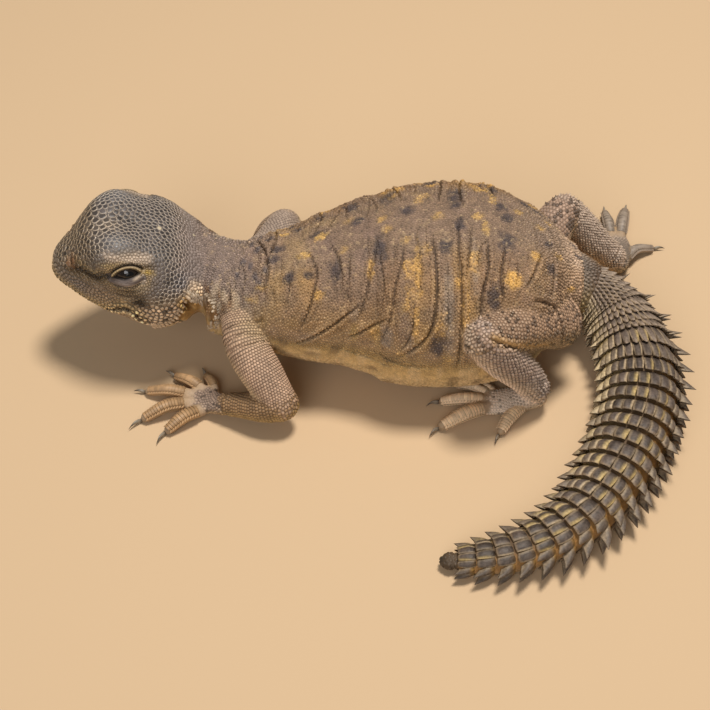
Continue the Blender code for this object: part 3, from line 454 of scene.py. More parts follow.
def raw_mesh(name, P, quads, tris):
    me = bpy.data.meshes.new(name)
    me.vertices.add(len(P))
    me.vertices.foreach_set("co", np.ascontiguousarray(P, np.float32).ravel())
    quads = np.asarray(quads, np.int32).reshape(-1, 4)
    tris = np.asarray(tris, np.int32).reshape(-1, 3)
    loops = np.concatenate([quads.ravel(), tris.ravel()]).astype(np.int32)
    starts = np.concatenate([np.arange(len(quads)) * 4, len(quads) * 4 + np.arange(len(tris)) * 3]).astype(np.int32)
    me.loops.add(len(loops))
    me.loops.foreach_set("vertex_index", loops)
    me.polygons.add(len(starts))
    me.polygons.foreach_set("loop_start", starts)
    me.update(calc_edges=True)
    return me, loops

me, _ = raw_mesh("raw_skin", V, quads, tris)
raw = bpy.data.objects.new("raw_skin", me)
bpy.context.scene.collection.objects.link(raw)
m = raw.modifiers.new("voxel", "REMESH")
m.mode = "VOXEL"
m.voxel_size = VOXEL
m.adaptivity = 0.0
graph = bpy.context.evaluated_depsgraph_get()
skin_me = bpy.data.meshes.new_from_object(raw.evaluated_get(graph))
bpy.data.objects.remove(raw, do_unlink=True)
tick("voxel skin: %d vertices, %d faces" % (len(skin_me.vertices), len(skin_me.polygons)))

# ------------------------------------------------------------------ smoothing and labels
def read_mesh(me):
    P = np.empty(len(me.vertices) * 3, np.float32)
    me.vertices.foreach_get("co", P)
    E = np.empty(len(me.edges) * 2, np.int32)
    me.edges.foreach_get("vertices", E)
    return P.reshape(-1, 3).astype(float), E.reshape(-1, 2)

def laplace(P, E, times, rate):
    """Moves every point towards the mean of its neighbours; rate is a number or one for each point."""
    n = len(P)
    count = np.bincount(E.ravel(), minlength=n).astype(float)
    rate = np.broadcast_to(np.asarray(rate, float), (n,))
    for _ in range(times):
        mean = np.empty_like(P)
        for k in range(P.shape[1]):
            mean[:, k] = (np.bincount(E[:, 0], P[E[:, 1], k], n) + np.bincount(E[:, 1], P[E[:, 0], k], n)) / np.maximum(count, 1)
        P = P + (mean - P) * rate[:, None]
    return P

def tree_of(P):
    kd = KDTree(len(P))
    for i, p in enumerate(P.tolist()):
        kd.insert(p, i)
    kd.balance()
    return kd

GROUP = {"head": 0, "neck": 1, "body": 1, "tail": 6}
def group_of(name):
    if name in GROUP:
        return GROUP[name]
    return 5 if name.startswith("toe") else 4 if name.startswith(("hand", "foot")) else 3 if name.startswith(("forearm", "shin")) else 2

SRC_GROUP = np.array([group_of(n) for n in SOURCES])
SRC_TREE = tree_of(V)

def label_of(P):
    return SRC[np.fromiter((SRC_TREE.find(p)[1] for p in P.tolist()), int, len(P))]

P, E = read_mesh(skin_me)
LABEL = label_of(P)
W = np.zeros((len(P), 7))
W[np.arange(len(P)), SRC_GROUP[LABEL]] = 1
W = laplace(W, E, 10, 0.6)
mix = np.clip(1.35 * (1 - (W ** 2).sum(1)), 0, 1)
# joints where a limb, the neck or the tail meets the trunk are rounded off
one = np.zeros((len(P), len(SOURCES)))
P = laplace(P, E, 3, 0.5)
P = laplace(P, E, 14, 0.55 * mix)
skin_me.vertices.foreach_set("co", P.astype(np.float32).ravel())
tick("smoothed and labelled")

# ------------------------------------------------------------------ finer mesh where the face needs it
EYES = {1: eye_frame(1), -1: eye_frame(-1)}

def face_detail(P):
    """How many times the faces at these points are split."""
    d, l, u = head_coords(P)
    n = np.zeros(len(P), int)
    head = (d > -1.5) & (d < 24)
    mu = np.interp(d, [a for a, _ in MOUTH], [b for _, b in MOUTH])
    mouth = head & (d < 14.6) & (np.abs(u - mu) < 0.75) & (d < 14.4)
    n[mouth] = 1
    for sgn in (1, -1):
        at, along, above, out = EYES[sgn]
        Q = P - at
        r = np.linalg.norm(Q, axis=1) + 1e-9
        a, b = 3.3 * (Q @ along) / r, 3.3 * (Q @ above) / r
        near = (Q @ out > 0) & (r < 4.6)
        n[near & ((a / 3.3) ** 2 + (b / 2.9) ** 2 < 1)] = 2
        nose = np.linalg.norm(P - head_point(2.95, sgn * 3.7, 6.05), axis=1)
        n[nose < 1.25] = 2
        ear = P - head_point(20.6, sgn * 9.9, 1.6)
        n[np.linalg.norm(ear, axis=1) < 3.2] = np.maximum(n[np.linalg.norm(ear, axis=1) < 3.2], 1)
    return n

for level in (1, 2):
    bm = bmesh.new()
    bm.from_mesh(skin_me)
    P, E = read_mesh(skin_me)
    want = face_detail(P) >= level
    bm.verts.ensure_lookup_table()
    edges = [e for e in bm.edges if want[e.verts[0].index] and want[e.verts[1].index]]
    bmesh.ops.subdivide_edges(bm, edges=edges, cuts=1, use_grid_fill=True, smooth=0.0)
    bmesh.ops.triangulate(bm, faces=[f for f in bm.faces if len(f.verts) > 4])
    bm.to_mesh(skin_me)
    bm.free()
skin_me.update()
P, E = read_mesh(skin_me)
want = face_detail(P)
P = laplace(P, E, 3, np.where(want > 0, 0.5, 0.0))
LABEL = label_of(P)
W = np.zeros((len(P), 7))
W[np.arange(len(P)), SRC_GROUP[LABEL]] = 1
W = laplace(W, E, 10, 0.6)
W /= W.sum(1, keepdims=True)
tick("refined skin: %d vertices" % len(P))

def set_points(P):
    skin_me.vertices.foreach_set("co", P.astype(np.float32).ravel())
    skin_me.update()

def normals():
    N = np.empty(len(skin_me.vertices) * 3, np.float32)
    skin_me.vertex_normals.foreach_get("vector", N)
    return N.reshape(-1, 3).astype(float)

# ------------------------------------------------------------------ folds of the trunk
# each fold: x and angle along it; the last numbers are depth of the crease, its half width, height of the skin beside it
FOLDS = [([(-.8, 75), (-.9, 54), (-1.4, 36)], .26, .20, .10), ([(3.4, 82), (3, 68), (2.4, 59), (1.7, 43), (.6, 27)], .34, .22, .16),
         ([(7.5, 72), (7.1, 62), (6.2, 51), (5.4, 31), (3.8, 10)], .34, .22, .16),
         ([(11.6, 80), (12.2, 59), (12.2, 43), (11.2, 21), (6.2, 2)], .52, .26, .26),
         ([(15.6, 84), (15.7, 67), (15.9, 56), (15.9, 23), (15.5, -6)], .58, .26, .28), ([(17.8, 82), (17.3, 66), (16.6, 50)], .36, .22, .14),
         ([(20.1, 72), (19.8, 51), (19.2, 44), (18.7, 28)], .48, .25, .20), ([(23, 68), (22.1, 54), (22.3, 36)], .42, .24, .18),
         ([(28.7, 64), (27.3, 53), (26, 45)], .36, .24, .16), ([(-9.5, -3), (-6, 10), (-2.9, 22), (.9, 37)], .52, .26, .24),
         ([(-1.4, 9), (1.7, 19), (5.1, 30)], .34, .24, .14), ([(-16, 122), (-13.4, 74), (-13.5, 61), (-14.1, 44)], .42, .26, .24),
         ([(-4.2, 88), (-2.6, 71), (-2, 54), (-2.3, 42)], .26, .20, .10), ([(-7.7, 86), (-5.9, 64), (-6.5, 41), (-8.4, 14)], .32, .22, .14),
         ([(3.5, 79), (3.9, 63), (4.4, 49), (3.5, 27)], .22, .18, .08), ([(9.2, 78), (9.9, 61), (9.6, 40)], .24, .20, .08),
         ([(20.9, 75), (18.9, 66), (18.4, 52)], .22, .18, .08), ([(-17.9, 84), (-17.0, 62), (-17.4, 44)], .20, .18, .08),
         ([(-10.2, 70), (-10.0, 50), (-11.0, 30)], .20, .18, .08), ([(13.9, 62), (14.0, 40), (13.6, 14)], .22, .18, .08),
         ([(17.9, 48), (17.9, 26), (17.2, 4)], .24, .18, .08), ([(8.9, 40), (8.6, 22), (7.0, 8)], .22, .18, .08),
         ([(24.6, 60), (24.4, 46)], .22, .20, .10), ([(30.8, 66), (30.6, 50), (30.0, 36)], .22, .20, .10),
         ([(2.0, 3), (7.5, -3), (12.6, -4)], .22, .20, .10), ([(-4.0, 0), (1.5, -6), (7.0, -8)], .20, .20, .08)]

def mirrored(folds, seed):
    """The same kind of folds on the other flank, each moved and bent a little so that the two sides differ."""
    out = []
    for i, (line, depth, width, ridge) in enumerate(folds):
        h = [float(hash01(i * 7 + k, seed)) for k in range(4)]
        move, lean, keep = (h[0] - 0.5) * 2.4, (h[1] - 0.5) * 0.04, 0.7 + 0.4 * h[2]
        out.append(([(x + move + lean * (90 - p), 180 - p * (0.92 + 0.16 * h[3])) for x, p in line], depth * keep, width, ridge * keep))
    return out

def fine_folds(count, seed):
    """Short fine wrinkles that run down the flanks."""
    out = []
    for i in range(count):
        h = [float(hash01(i * 11 + k, seed)) for k in range(6)]
        x, p = -19 + 49 * h[0], 24 + 58 * h[1]
        long, lean = 8 + 20 * h[2], (h[3] - 0.5) * 0.9
        line = [(x - lean * 0.5, p - long / 2), (x + (h[4] - .5) * 0.4, p), (x + lean * 0.5, p + long / 2)]
        if h[5] > 0.5:
            line = [(a, 180 - b) for a, b in line]
        out.append((line, 0.10 + 0.09 * h[2], 0.16, 0.03))
    return out

def fold_push(x, phi, folds, per_degree=0.24):
    push = np.zeros(len(x))
    for line, depth, width, ridge in folds:
        L = np.array(line, float)
        if len(L) > 2:
            t = np.concatenate([[0], np.cumsum(np.hypot(np.diff(L[:, 0]), np.diff(L[:, 1]) * per_degree))])
            q = np.linspace(0, t[-1], 14)
            L = flow(np.column_stack([t, L]), q)
        A = L * np.array([1, per_degree])
        lo, hi = A.min(0) - 2.2, A.max(0) + 2.2
        X = np.column_stack([x, phi * per_degree])
        near = np.where(((X > lo) & (X < hi)).all(1))[0]
        if not len(near):
            continue
        Q = X[near]
        best = np.full(len(near), 1e9)
        share = np.zeros(len(near))
        total = len(A) - 1
        for k in range(total):
            ab = A[k + 1] - A[k]
            t = np.clip(((Q - A[k]) @ ab) / (ab @ ab + 1e-12), 0, 1)
            D = np.linalg.norm(Q - A[k] - t[:, None] * ab, axis=1)
            hit = D < best
            best[hit], share[hit] = D[hit], ((k + t) / total)[hit]
        fade = np.sin(np.clip(share, 0, 1) * math.pi) ** 0.6
        push[near] += fade * (-depth * bump(best, width) + ridge * bump(best - width * 2.6, width * 1.9))
    return push

P0 = P.copy()
x, phi = body_coords(P)
phi_up = np.where(phi < -90, phi + 360, phi)          # -90 .. 270
trunk = W[:, 1]
SKIN_FOLDS = [(a, min(b * 1.5, 0.62), c * 0.80, e * 1.25) for a, b, c, e in FOLDS + mirrored(FOLDS, 5)] + fine_folds(150, 3)
push = np.zeros(len(P))
on = np.where(trunk > 0.02)[0]
push[on] = fold_push(x[on], phi_up[on], SKIN_FOLDS) * smoothstep(0.05, 0.7, trunk[on])
# soft unevenness of the loose skin, and of the belly where it lies on the floor
flank = np.exp(-((np.abs(phi_up - 90) - 45) / 32) ** 2)
push[on] += (0.20 * fbm(P[on], 5.0, 11, 2) * flank[on] + 0.10 * fbm(P[on], 2.2, 12, 2)) * trunk[on]

# ------------------------------------------------------------------ creases of the neck and the limb roots, as lines in space
LINES = [  # points, depth, half width, ridge
    ([(-22.9, -4.9, 17.6), (-22.6, -5.3, 15.2), (-22.6, -5.2, 13.2), (-22.4, -4.6, 11.0)], .40, .24, .25),
    ([(-21.4, -4.7, 17.2), (-21.2, -5.6, 14.6), (-21.2, -5.8, 12.0)], .26, .20, .12),
    ([(-20.3, -4.4, 17.8), (-20.0, -5.9, 14.8)], .22, .20, .10),
    ([(-23.9, -4.6, 15.6), (-23.9, -4.9, 13.6), (-23.4, -4.4, 11.4)], .34, .22, .18),
    ([(-19.4, -2.6, 19.0), (-19.3, -4.0, 18.2), (-19.2, -4.9, 17.2), (-19.3, -5.5, 15.9), (-19.4, -5.3, 14.4)], .46, .24, .30),
    ([(-20.8, -2.8, 18.4), (-20.7, -3.9, 17.5), (-20.7, -4.8, 16.6), (-20.9, -5.2, 15.2)], .34, .20, .24),
    ([(-18.5, -2.9, 19.2), (-18.5, -4.2, 18.4), (-18.5, -5.0, 17.6)], .28, .20, .20)]
DEWLAP = [([(-27.4, -3.4, 11.4), (-25.8, -2.2, 10.0), (-24.4, -2.6, 9.3), (-22.9, -3.8, 9.6)], -.95, .75, 0.0)]

def line_push(P, lines):
    push = np.zeros(len(P))
    for line, depth, width, ridge in lines:
        A = np.array(line, float)
        if len(A) > 2:
            t = by_length(A)
            A = flow(t, np.linspace(0, t[-1, 0], 14))
        near = np.where(((P > A.min(0) - 2.5) & (P < A.max(0) + 2.5)).all(1))[0]
        if not len(near):
            continue
        Q = P[near]
        best, share = np.full(len(near), 1e9), np.zeros(len(near))
        total = len(A) - 1
        for k in range(total):
            ab = A[k + 1] - A[k]
            t = np.clip(((Q - A[k]) @ ab) / (ab @ ab + 1e-12), 0, 1)
            D = np.linalg.norm(Q - A[k] - t[:, None] * ab, axis=1)
            hit = D < best
            best[hit], share[hit] = D[hit], ((k + t) / total)[hit]
        fade = np.sin(np.clip(share, 0, 1) * math.pi) ** 0.6
        push[near] += fade * (-depth * bump(best, width) + ridge * bump(best - width * 2.6, width * 1.9))
    return push

LEG_LINES = [  # round the root of the near thigh, and between thigh and shin
    ([(26.4, -9.0, 20.3), (28.9, -7.9, 19.1), (30.8, -6.8, 16.6), (31.5, -8.0, 15.7), (32.2, -8.6, 13.0), (32.3, -7.8, 10.5)], .50, .26, .25),
    ([(19.3, -16.7, 20.3), (20.8, -16.5, 19.3), (22.3, -16.1, 18.0), (24.9, -14.3, 15.8)], .50, .28, .28)]
THIGH_FOLD = [(20.6, -16.4, 19.9), (22.6, -16.1, 18.4), (25.2, -14.8, 16.4), (28.0, -12.4, 13.8), (30.4, -10.2, 12.0)]

def snapped(P, lines):
    """The same lines laid on the points P."""
    out = []
    for line, depth, width, ridge in lines:
        A = by_length(np.array(line, float))
        A = flow(A, np.linspace(0, A[-1, 0], 14))
        out.append(([tuple(P[((P - a) ** 2).sum(1).argmin()]) for a in A], depth, width, ridge))
    return out

far = lambda lines: [([(a, 2 * np.interp(a, BODY_LINE[:, 0], BODY_LINE[:, 1]) - b, c) for a, b, c in line], d, w, r) for line, d, w, r in lines]
push += line_push(P, LINES + far(LINES)) * (1 - W[:, 0] * 0.7)
push += line_push(P, DEWLAP)
push += line_push(P, snapped(P, LEG_LINES))
# the last length of the tail is slim and ends in a small knob
tip_c, tip_t, _, _ = tail_at(np.array([TAIL_LONG - 1.4]))
on = np.where((W[:, 6] > 0.5) & (np.linalg.norm(P - tip_c[0], axis=1) < 16))[0]
tip_s = TAIL_LONG - 1.4 + (P[on] - tip_c[0]) @ tip_t[0]
push[on] -= 0.20 * smoothstep(TAIL_LONG - 14, TAIL_LONG - 5, tip_s) * (1 - smoothstep(TAIL_LONG - 2.2, TAIL_LONG - 1.4, tip_s))
off_axis = P[on] - tip_c[0] - (tip_s - TAIL_LONG + 1.4)[:, None] * tip_t[0]
P[on] -= off_axis * (0.24 * smoothstep(TAIL_LONG - 3.4, TAIL_LONG - 2.4, tip_s) + 0.30 * smoothstep(TAIL_LONG - 1.2, TAIL_LONG + 0.2, tip_s) - 0.10 * bump(tip_s - TAIL_LONG + 1.2, 0.8))[:, None]
# the far knee and the rump touch
push += 0.85 * bump(np.linalg.norm(P - np.array([38.6, 18.4, 6.2]), axis=1), 2.4)

# creases across the limbs at the bends: tube, running share, depth, half width, angle range kept (centre, half width in degrees)
BENDS = [("upper_arm_left", .16, .30, .26, 60, 90), ("upper_arm_left", .27, .30, .22, 60, 80), ("upper_arm_left", .36, .20, .2, 70, 60),
         ("forearm_left", .99, .36, .26, 90, 200), ("forearm_left", .10, .16, .3, 90, 200), ("forearm_right", .99, .36, .26, 90, 200),
         ("shin_left", .93, .34, .24, 90, 200), ("shin_left", .86, .22, .2, 90, 200), ("shin_right", .95, .30, .24, 90, 200),
         ("thigh_left", .06, .30, .3, 90, 200), ("upper_arm_right", .12, .26, .26, 90, 200)]
for name, share, depth, width, mid, half in BENDS:
    tube = TUBES[name]
    near = np.where((np.abs(P - tube.C[int(share * 27)]) < 5.5).all(1))[0]
    s, ang, k = tube.coords(P[near])
    wob = 0.25 * np.sin(ang * 2 + share * 9)
    keep = bump(((np.degrees(ang) - mid + 180) % 360 - 180), half) * (k < 1.5)
    at_s = share * tube.long
    push[near] += -keep * depth * bump(s - at_s - wob, width) + keep * depth * 0.4 * bump(np.abs(s - at_s - wob) - 2.4 * width, 1.6 * width)
set_points(P)
N = normals()
P = P + N * push[:, None]

# skin web that joins the near thigh's rear edge: a soft roll along the underside of the thigh
tube = TUBES["thigh_left"]
near = np.where((np.abs(P - tube.C[16]) < 8).all(1))[0]
s, ang, k = tube.coords(P[near])
roll = bump(((np.degrees(ang) + 28 + 180) % 360 - 180), 18) * smoothstep(2, 5, s) * (1 - smoothstep(10, 14, s)) * (k < 1.4)
groove = bump(((np.degrees(ang) + 4 + 180) % 360 - 180), 7) * smoothstep(2, 5, s) * (1 - smoothstep(9, 13, s)) * (k < 1.4)
P[near] += N[near] * (0.35 * roll - 0.28 * groove)[:, None]

# ------------------------------------------------------------------ face
# opening of the eye and the edges of the lids, in the eye's own measures on a ball of radius 3.3 (a towards the snout, b up)
LID_UP = [(2.12, -.06), (1.46, .84), (.74, 1.38), (-.05, 1.68), (-.75, 1.74), (-1.66, 1.46), (-2.36, .82)]
LID_LOW = [(2.12, -.06), (1.5, -.04), (.86, -.06), (.25, -.10), (-.65, .04), (-1.64, .36), (-2.36, .82)]
def even(points, n):
    A = by_length(np.column_stack([points, np.zeros(len(points))]))
    return flow(A, np.linspace(0, A[-1, 0], n))[:, :2]
LID_UP_C, LID_LOW_C = even(LID_UP, 30), even(LID_LOW, 30)
OPENING = np.vstack([LID_UP_C, LID_LOW_C[::-1][1:-1]])

def curve_dist(Q, A):
    best = np.full(len(Q), 1e9)
    for k in range(len(A) - 1):
        ab = A[k + 1] - A[k]
        t = np.clip(((Q - A[k]) @ ab) / (ab @ ab + 1e-12), 0, 1)
        best = np.minimum(best, np.linalg.norm(Q - A[k] - t[:, None] * ab, axis=1))
    return best

def inside(Q, poly):
    odd = np.zeros(len(Q), bool)
    j = len(poly) - 1
    for i in range(len(poly)):
        xi, yi, xj, yj = *poly[i], *poly[j]
        cross = ((yi > Q[:, 1]) != (yj > Q[:, 1])) & (Q[:, 0] < (xj - xi) * (Q[:, 1] - yi) / (yj - yi + 1e-12) + xi)
        odd ^= cross
        j = i
    return odd

def eye_measures(P, sgn):
    at, along, above, out = EYES[sgn]
    Q = P - at
    r = np.linalg.norm(Q, axis=1) + 1e-9
    return 3.3 * (Q @ along) / r, 3.3 * (Q @ above) / r, r, (Q @ out) > 0

def eye_part(P, sgn):
    """For points near an eye: signed distance to the opening (minus inside), distances to the two lid edges, a, b."""
    a, b, r, front = eye_measures(P, sgn)
    Q = np.column_stack([a, b])
    up, low = curve_dist(Q, LID_UP_C), curve_dist(Q, LID_LOW_C)
    sd = np.minimum(up, low) * np.where(inside(Q, OPENING), -1, 1)
    return sd, up, low, a, b, r, front

for sgn in (1, -1):
    at, along, above, out = EYES[sgn]
    a, b, r, front = eye_measures(P, sgn)
    near = np.where(front & (r < 5.0) & (np.abs(a) < 3.6) & (np.abs(b) < 3.2))[0]
    sd, up, low, a, b, r, front = eye_part(P[near], sgn)
    above_lid = up < low
    crease_b = -1.62 + 0.10 * (a - 0.2) ** 2
    lid_top = np.interp(a, LID_LOW_C[::-1, 0], LID_LOW_C[::-1, 1])
    lower = (~above_lid) & (b > crease_b - 0.9)
    t = np.clip((lid_top - b) / np.maximum(lid_top - crease_b, 0.3), 0, 2)
    R_up = 3.36 + 0.10 * bump(up - 0.17, 0.15) - 0.34 * bump(up - 0.50, 0.15) + 0.14 * bump(up - 0.95, 0.3)
    R_low = 3.00 + 0.24 * np.sin(np.clip(t, 0, 1) * math.pi * 0.8) - 0.34 * bump(b - crease_b, 0.13) + 0.16 * smoothstep(1.1, 1.6, t)
    R_new = np.where(above_lid, R_up, np.where(t < 2.0, R_low, 3.2))
    # towards the corners the two lids meet
    blend_edge = smoothstep(-0.25, 0.25, low - up)
    R_new = R_up * blend_edge + R_low * (1 - blend_edge)
    R_new = np.where(sd < 0, 2.30, R_new)
    reach = np.sqrt((a / 3.0) ** 2 + ((b - 0.2) / np.where(b > 0, 2.55, 2.15)) ** 2)
    w = 1 - smoothstep(0.86, 1.12, reach)
    keep_up = np.where(above_lid & (up > 0.3), smoothstep(0.45, 1.1, up), 0)
    R_new = R_new * (1 - keep_up) + (r - 0.0) * keep_up - 0.0
    R_new = R_new - 0.26 * bump(up - 0.52, 0.15) * above_lid * (sd > 0)
    r2 = r * (1 - w) + R_new * w
    P[near] = at + (P[near] - at) * (r2 / r)[:, None]

d, l, u = head_coords(P)
head_w = W[:, 0]
set_points(P)
N = normals()
# mouth: a fine groove with soft lips
ML = np.array(MOUTH)
mouth_curve = even(MOUTH, 60)
hd = np.where((head_w > 0.3) & (d < 15.6))[0]
Q = np.column_stack([d[hd], u[hd]])
dist = curve_dist(Q, mouth_curve[mouth_curve[:, 0] < 14.3])
end = 1 - smoothstep(13.2, 14.8, d[hd])
side_on = np.abs(l[hd]) > 1.2 * smoothstep(2.5, 6, d[hd])
P[hd] += N[hd] * ((-0.52 * bump(dist, 0.20) + 0.18 * bump(dist - 0.62, 0.28)) * end * side_on)[:, None]
# fold that runs down and back from the corner of the mouth, and cheek hollow
push = np.zeros(len(P))
for sgn in (1, -1):
    lm = l * sgn
    on = np.where((head_w > 0.2) & (lm > 2))[0]
    H = np.column_stack([d[on], u[on]])
    folds2 = [([(9.2, 2.2), (11.2, 3.0), (12.8, 2.4), (14.2, 0.9), (15.2, -1.0)], .16, .22), ([(6.8, 3.9), (9.0, 3.0), (11.5, 3.9)], .14, .22),
              ([(14.6, 3.6), (15.6, 1.2), (15.9, -1.6)], .10, .25)]
    for line, depth, width in folds2:
        A = even(line, 24)
        dd = curve_dist(H, A)
        push[on] += -depth * bump(dd, width) + depth * 0.5 * bump(dd - 2.4 * width, 1.6 * width)
    # nostril
    at = head_point(2.95, sgn * 3.7, 6.05)
    Q = P - at
    long_ax = unit(HU * 0.96 - HF * 0.20)
    wide_ax = unit(HF - long_ax * (HF @ long_ax))
    la, wa = Q @ long_ax, Q @ wide_ax
    q = np.sqrt((la / 0.52) ** 2 + (wa / 0.20) ** 2)
    close = np.linalg.norm(Q, axis=1) < 2.2
    push += np.where(close, -0.75 * (1 - smoothstep(0.55, 1.25, q)) + 0.14 * bump(q - 2.0, 0.7), 0)
    # ear opening: a slanting pit with a raised front rim
    at = head_point(20.9, sgn * 9.8, 1.6)
    Q = P - at
    long_ax = unit(HU * 0.86 + HF * 0.50)
    wide_ax = unit(HF - long_ax * (HF @ long_ax))
    la, wa = Q @ long_ax, Q @ wide_ax
    close = np.linalg.norm(Q, axis=1) < 4.0
    q = np.sqrt((la / 2.1) ** 2 + (wa / 0.62) ** 2)
    push += np.where(close, -1.5 * (1 - smoothstep(0.45, 1.15, q)), 0)
# throat folds
on = np.where((head_w > 0.3) & (u < -2) & (d > 12))[0]
push[on] += -0.16 * bump((d[on] - 20.4 + 0.12 * l[on] ** 2 * 0.1), 0.35)
P = P + N * push[:, None]
P[:, 2] = np.maximum(P[:, 2], 0.02)
set_points(P)
N = normals()
tick("sculpted")

# ------------------------------------------------------------------ markings
def col(*v):
    return np.array(v, float)

def over(C, colour, weight):
    w = np.clip(np.broadcast_to(np.asarray(weight, float), (len(C),)), 0, 1)[:, None]
    return C * (1 - w) + np.asarray(colour, float) * w

FLANK = [(-90, .50, .36, .19), (-30, .50, .360, .185), (-12, .42, .285, .125), (-3, .33, .215, .085), (6, .36, .230, .115), (22, .295, .190, .098), (45, .262, .166, .096),
         (66, .240, .156, .098), (90, .236, .154, .102)]
DARK_SPOTS = [(15.6, 103, 1.3, 1.0), (8, 95, 1.2, .9), (.5, 97, 1.1, .9), (-5.9, 96, 1.2, .9), (-11.9, 90, 1.3, 1.0), (16, 83, .9, 1.2), (3.8, 71, 1.1, 2.3),
              (-3, 62, 1.0, 2.2), (-10.1, 60, 1.0, 1.3), (-7, 61, .8, 1.0), (13.6, 69, 1.2, 1.0), (23.4, 86, 1.2, .9), (23.1, 70, 1.4, 1.5),
              (30.1, 73, .9, .8), (30.1, 55, 1.1, 1.1), (35.6, 84, 1.0, .8), (12.6, 14, 1.4, 2.0), (17.6, 12, 1.0, 2.2), (-12.6, 78, 1.0, 1.0), (21.0, 40, 1.1, 2.0),
              (27.0, 108, 1.0, .9), (5.5, 118, 1.1, .9), (-1.5, 122, 1.0, 1.0), (12, 128, 1.2, 1.2), (19.5, 122, 1.2, .9), (-9, 112, 1.0, .8)]
GOLD_SPOTS = [(20, 113, 1.2, .8, 1), (12.7, 89, 1.1, .8, .9), (20, 79, .7, 1.5, .8), (23.8, 50, 1.2, 1.3, 1.3), (27.6, 62, .9, .8, 1), (18, 60, .9, 1.6, .8),
              (33.8, 42, .9, .8, 1), (-11, 110, 1.0, .8, 1), (-7.7, 78, 1.1, .9, 1), (2.4, 59, .7, 1.8, .9), (8.2, 57, 1.1, 1.4, .9), (8.2, 41, 1.0, 2.4, .7),
              (15.7, 50, .7, 1.0, .9), (16.2, 30, .4, 4.0, .8), (-5.6, 44, 1.1, 1.4, .9), (12.1, 122, 1.2, .8, .9), (11, 108, 1.0, .7, .8), (19, 88, .9, .7, .9),
              (10.6, 68, 1.0, 1.0, .6), (4.9, 84, .9, .7, .8), (-1.8, 76, .9, .8, .6), (28.8, 84, .9, .7, .9), (31.6, 66, .8, .7, .8), (12.8, 26, 1.0, 2.0, .6),
              (-14.2, 52, .9, 1.0, .7), (3.0, 18, 1.0, 1.3, .6), (25.4, 92, .8, .6, .8), (18.8, 14, .8, 1.8, .6), (7.6, 74, .8, .7, .6), (-15.8, 40, 1.0, 1.2, .6)]

def far_spots(spots, seed):
    out = []
    for i, sp in enumerate(spots):
        if sp[1] > 86:
            continue
        h = [float(hash01(i * 5 + k, seed)) for k in range(3)]
        out.append((sp[0] + (h[0] - .5) * 5, 180 - sp[1] * (.88 + .24 * h[1]), *sp[2:]))
    return out

def spots(x, phi, table, wob):
    w = np.zeros(len(x))
    for sp in table:
        q = np.sqrt(((x - sp[0]) / sp[2]) ** 2 + ((phi - sp[1]) * 0.24 / sp[3]) ** 2)
        w = np.maximum(w, (1 - smoothstep(0.40, 1.35, q + 0.50 * wob)) * (sp[4] if len(sp) > 4 else 1))
    return w

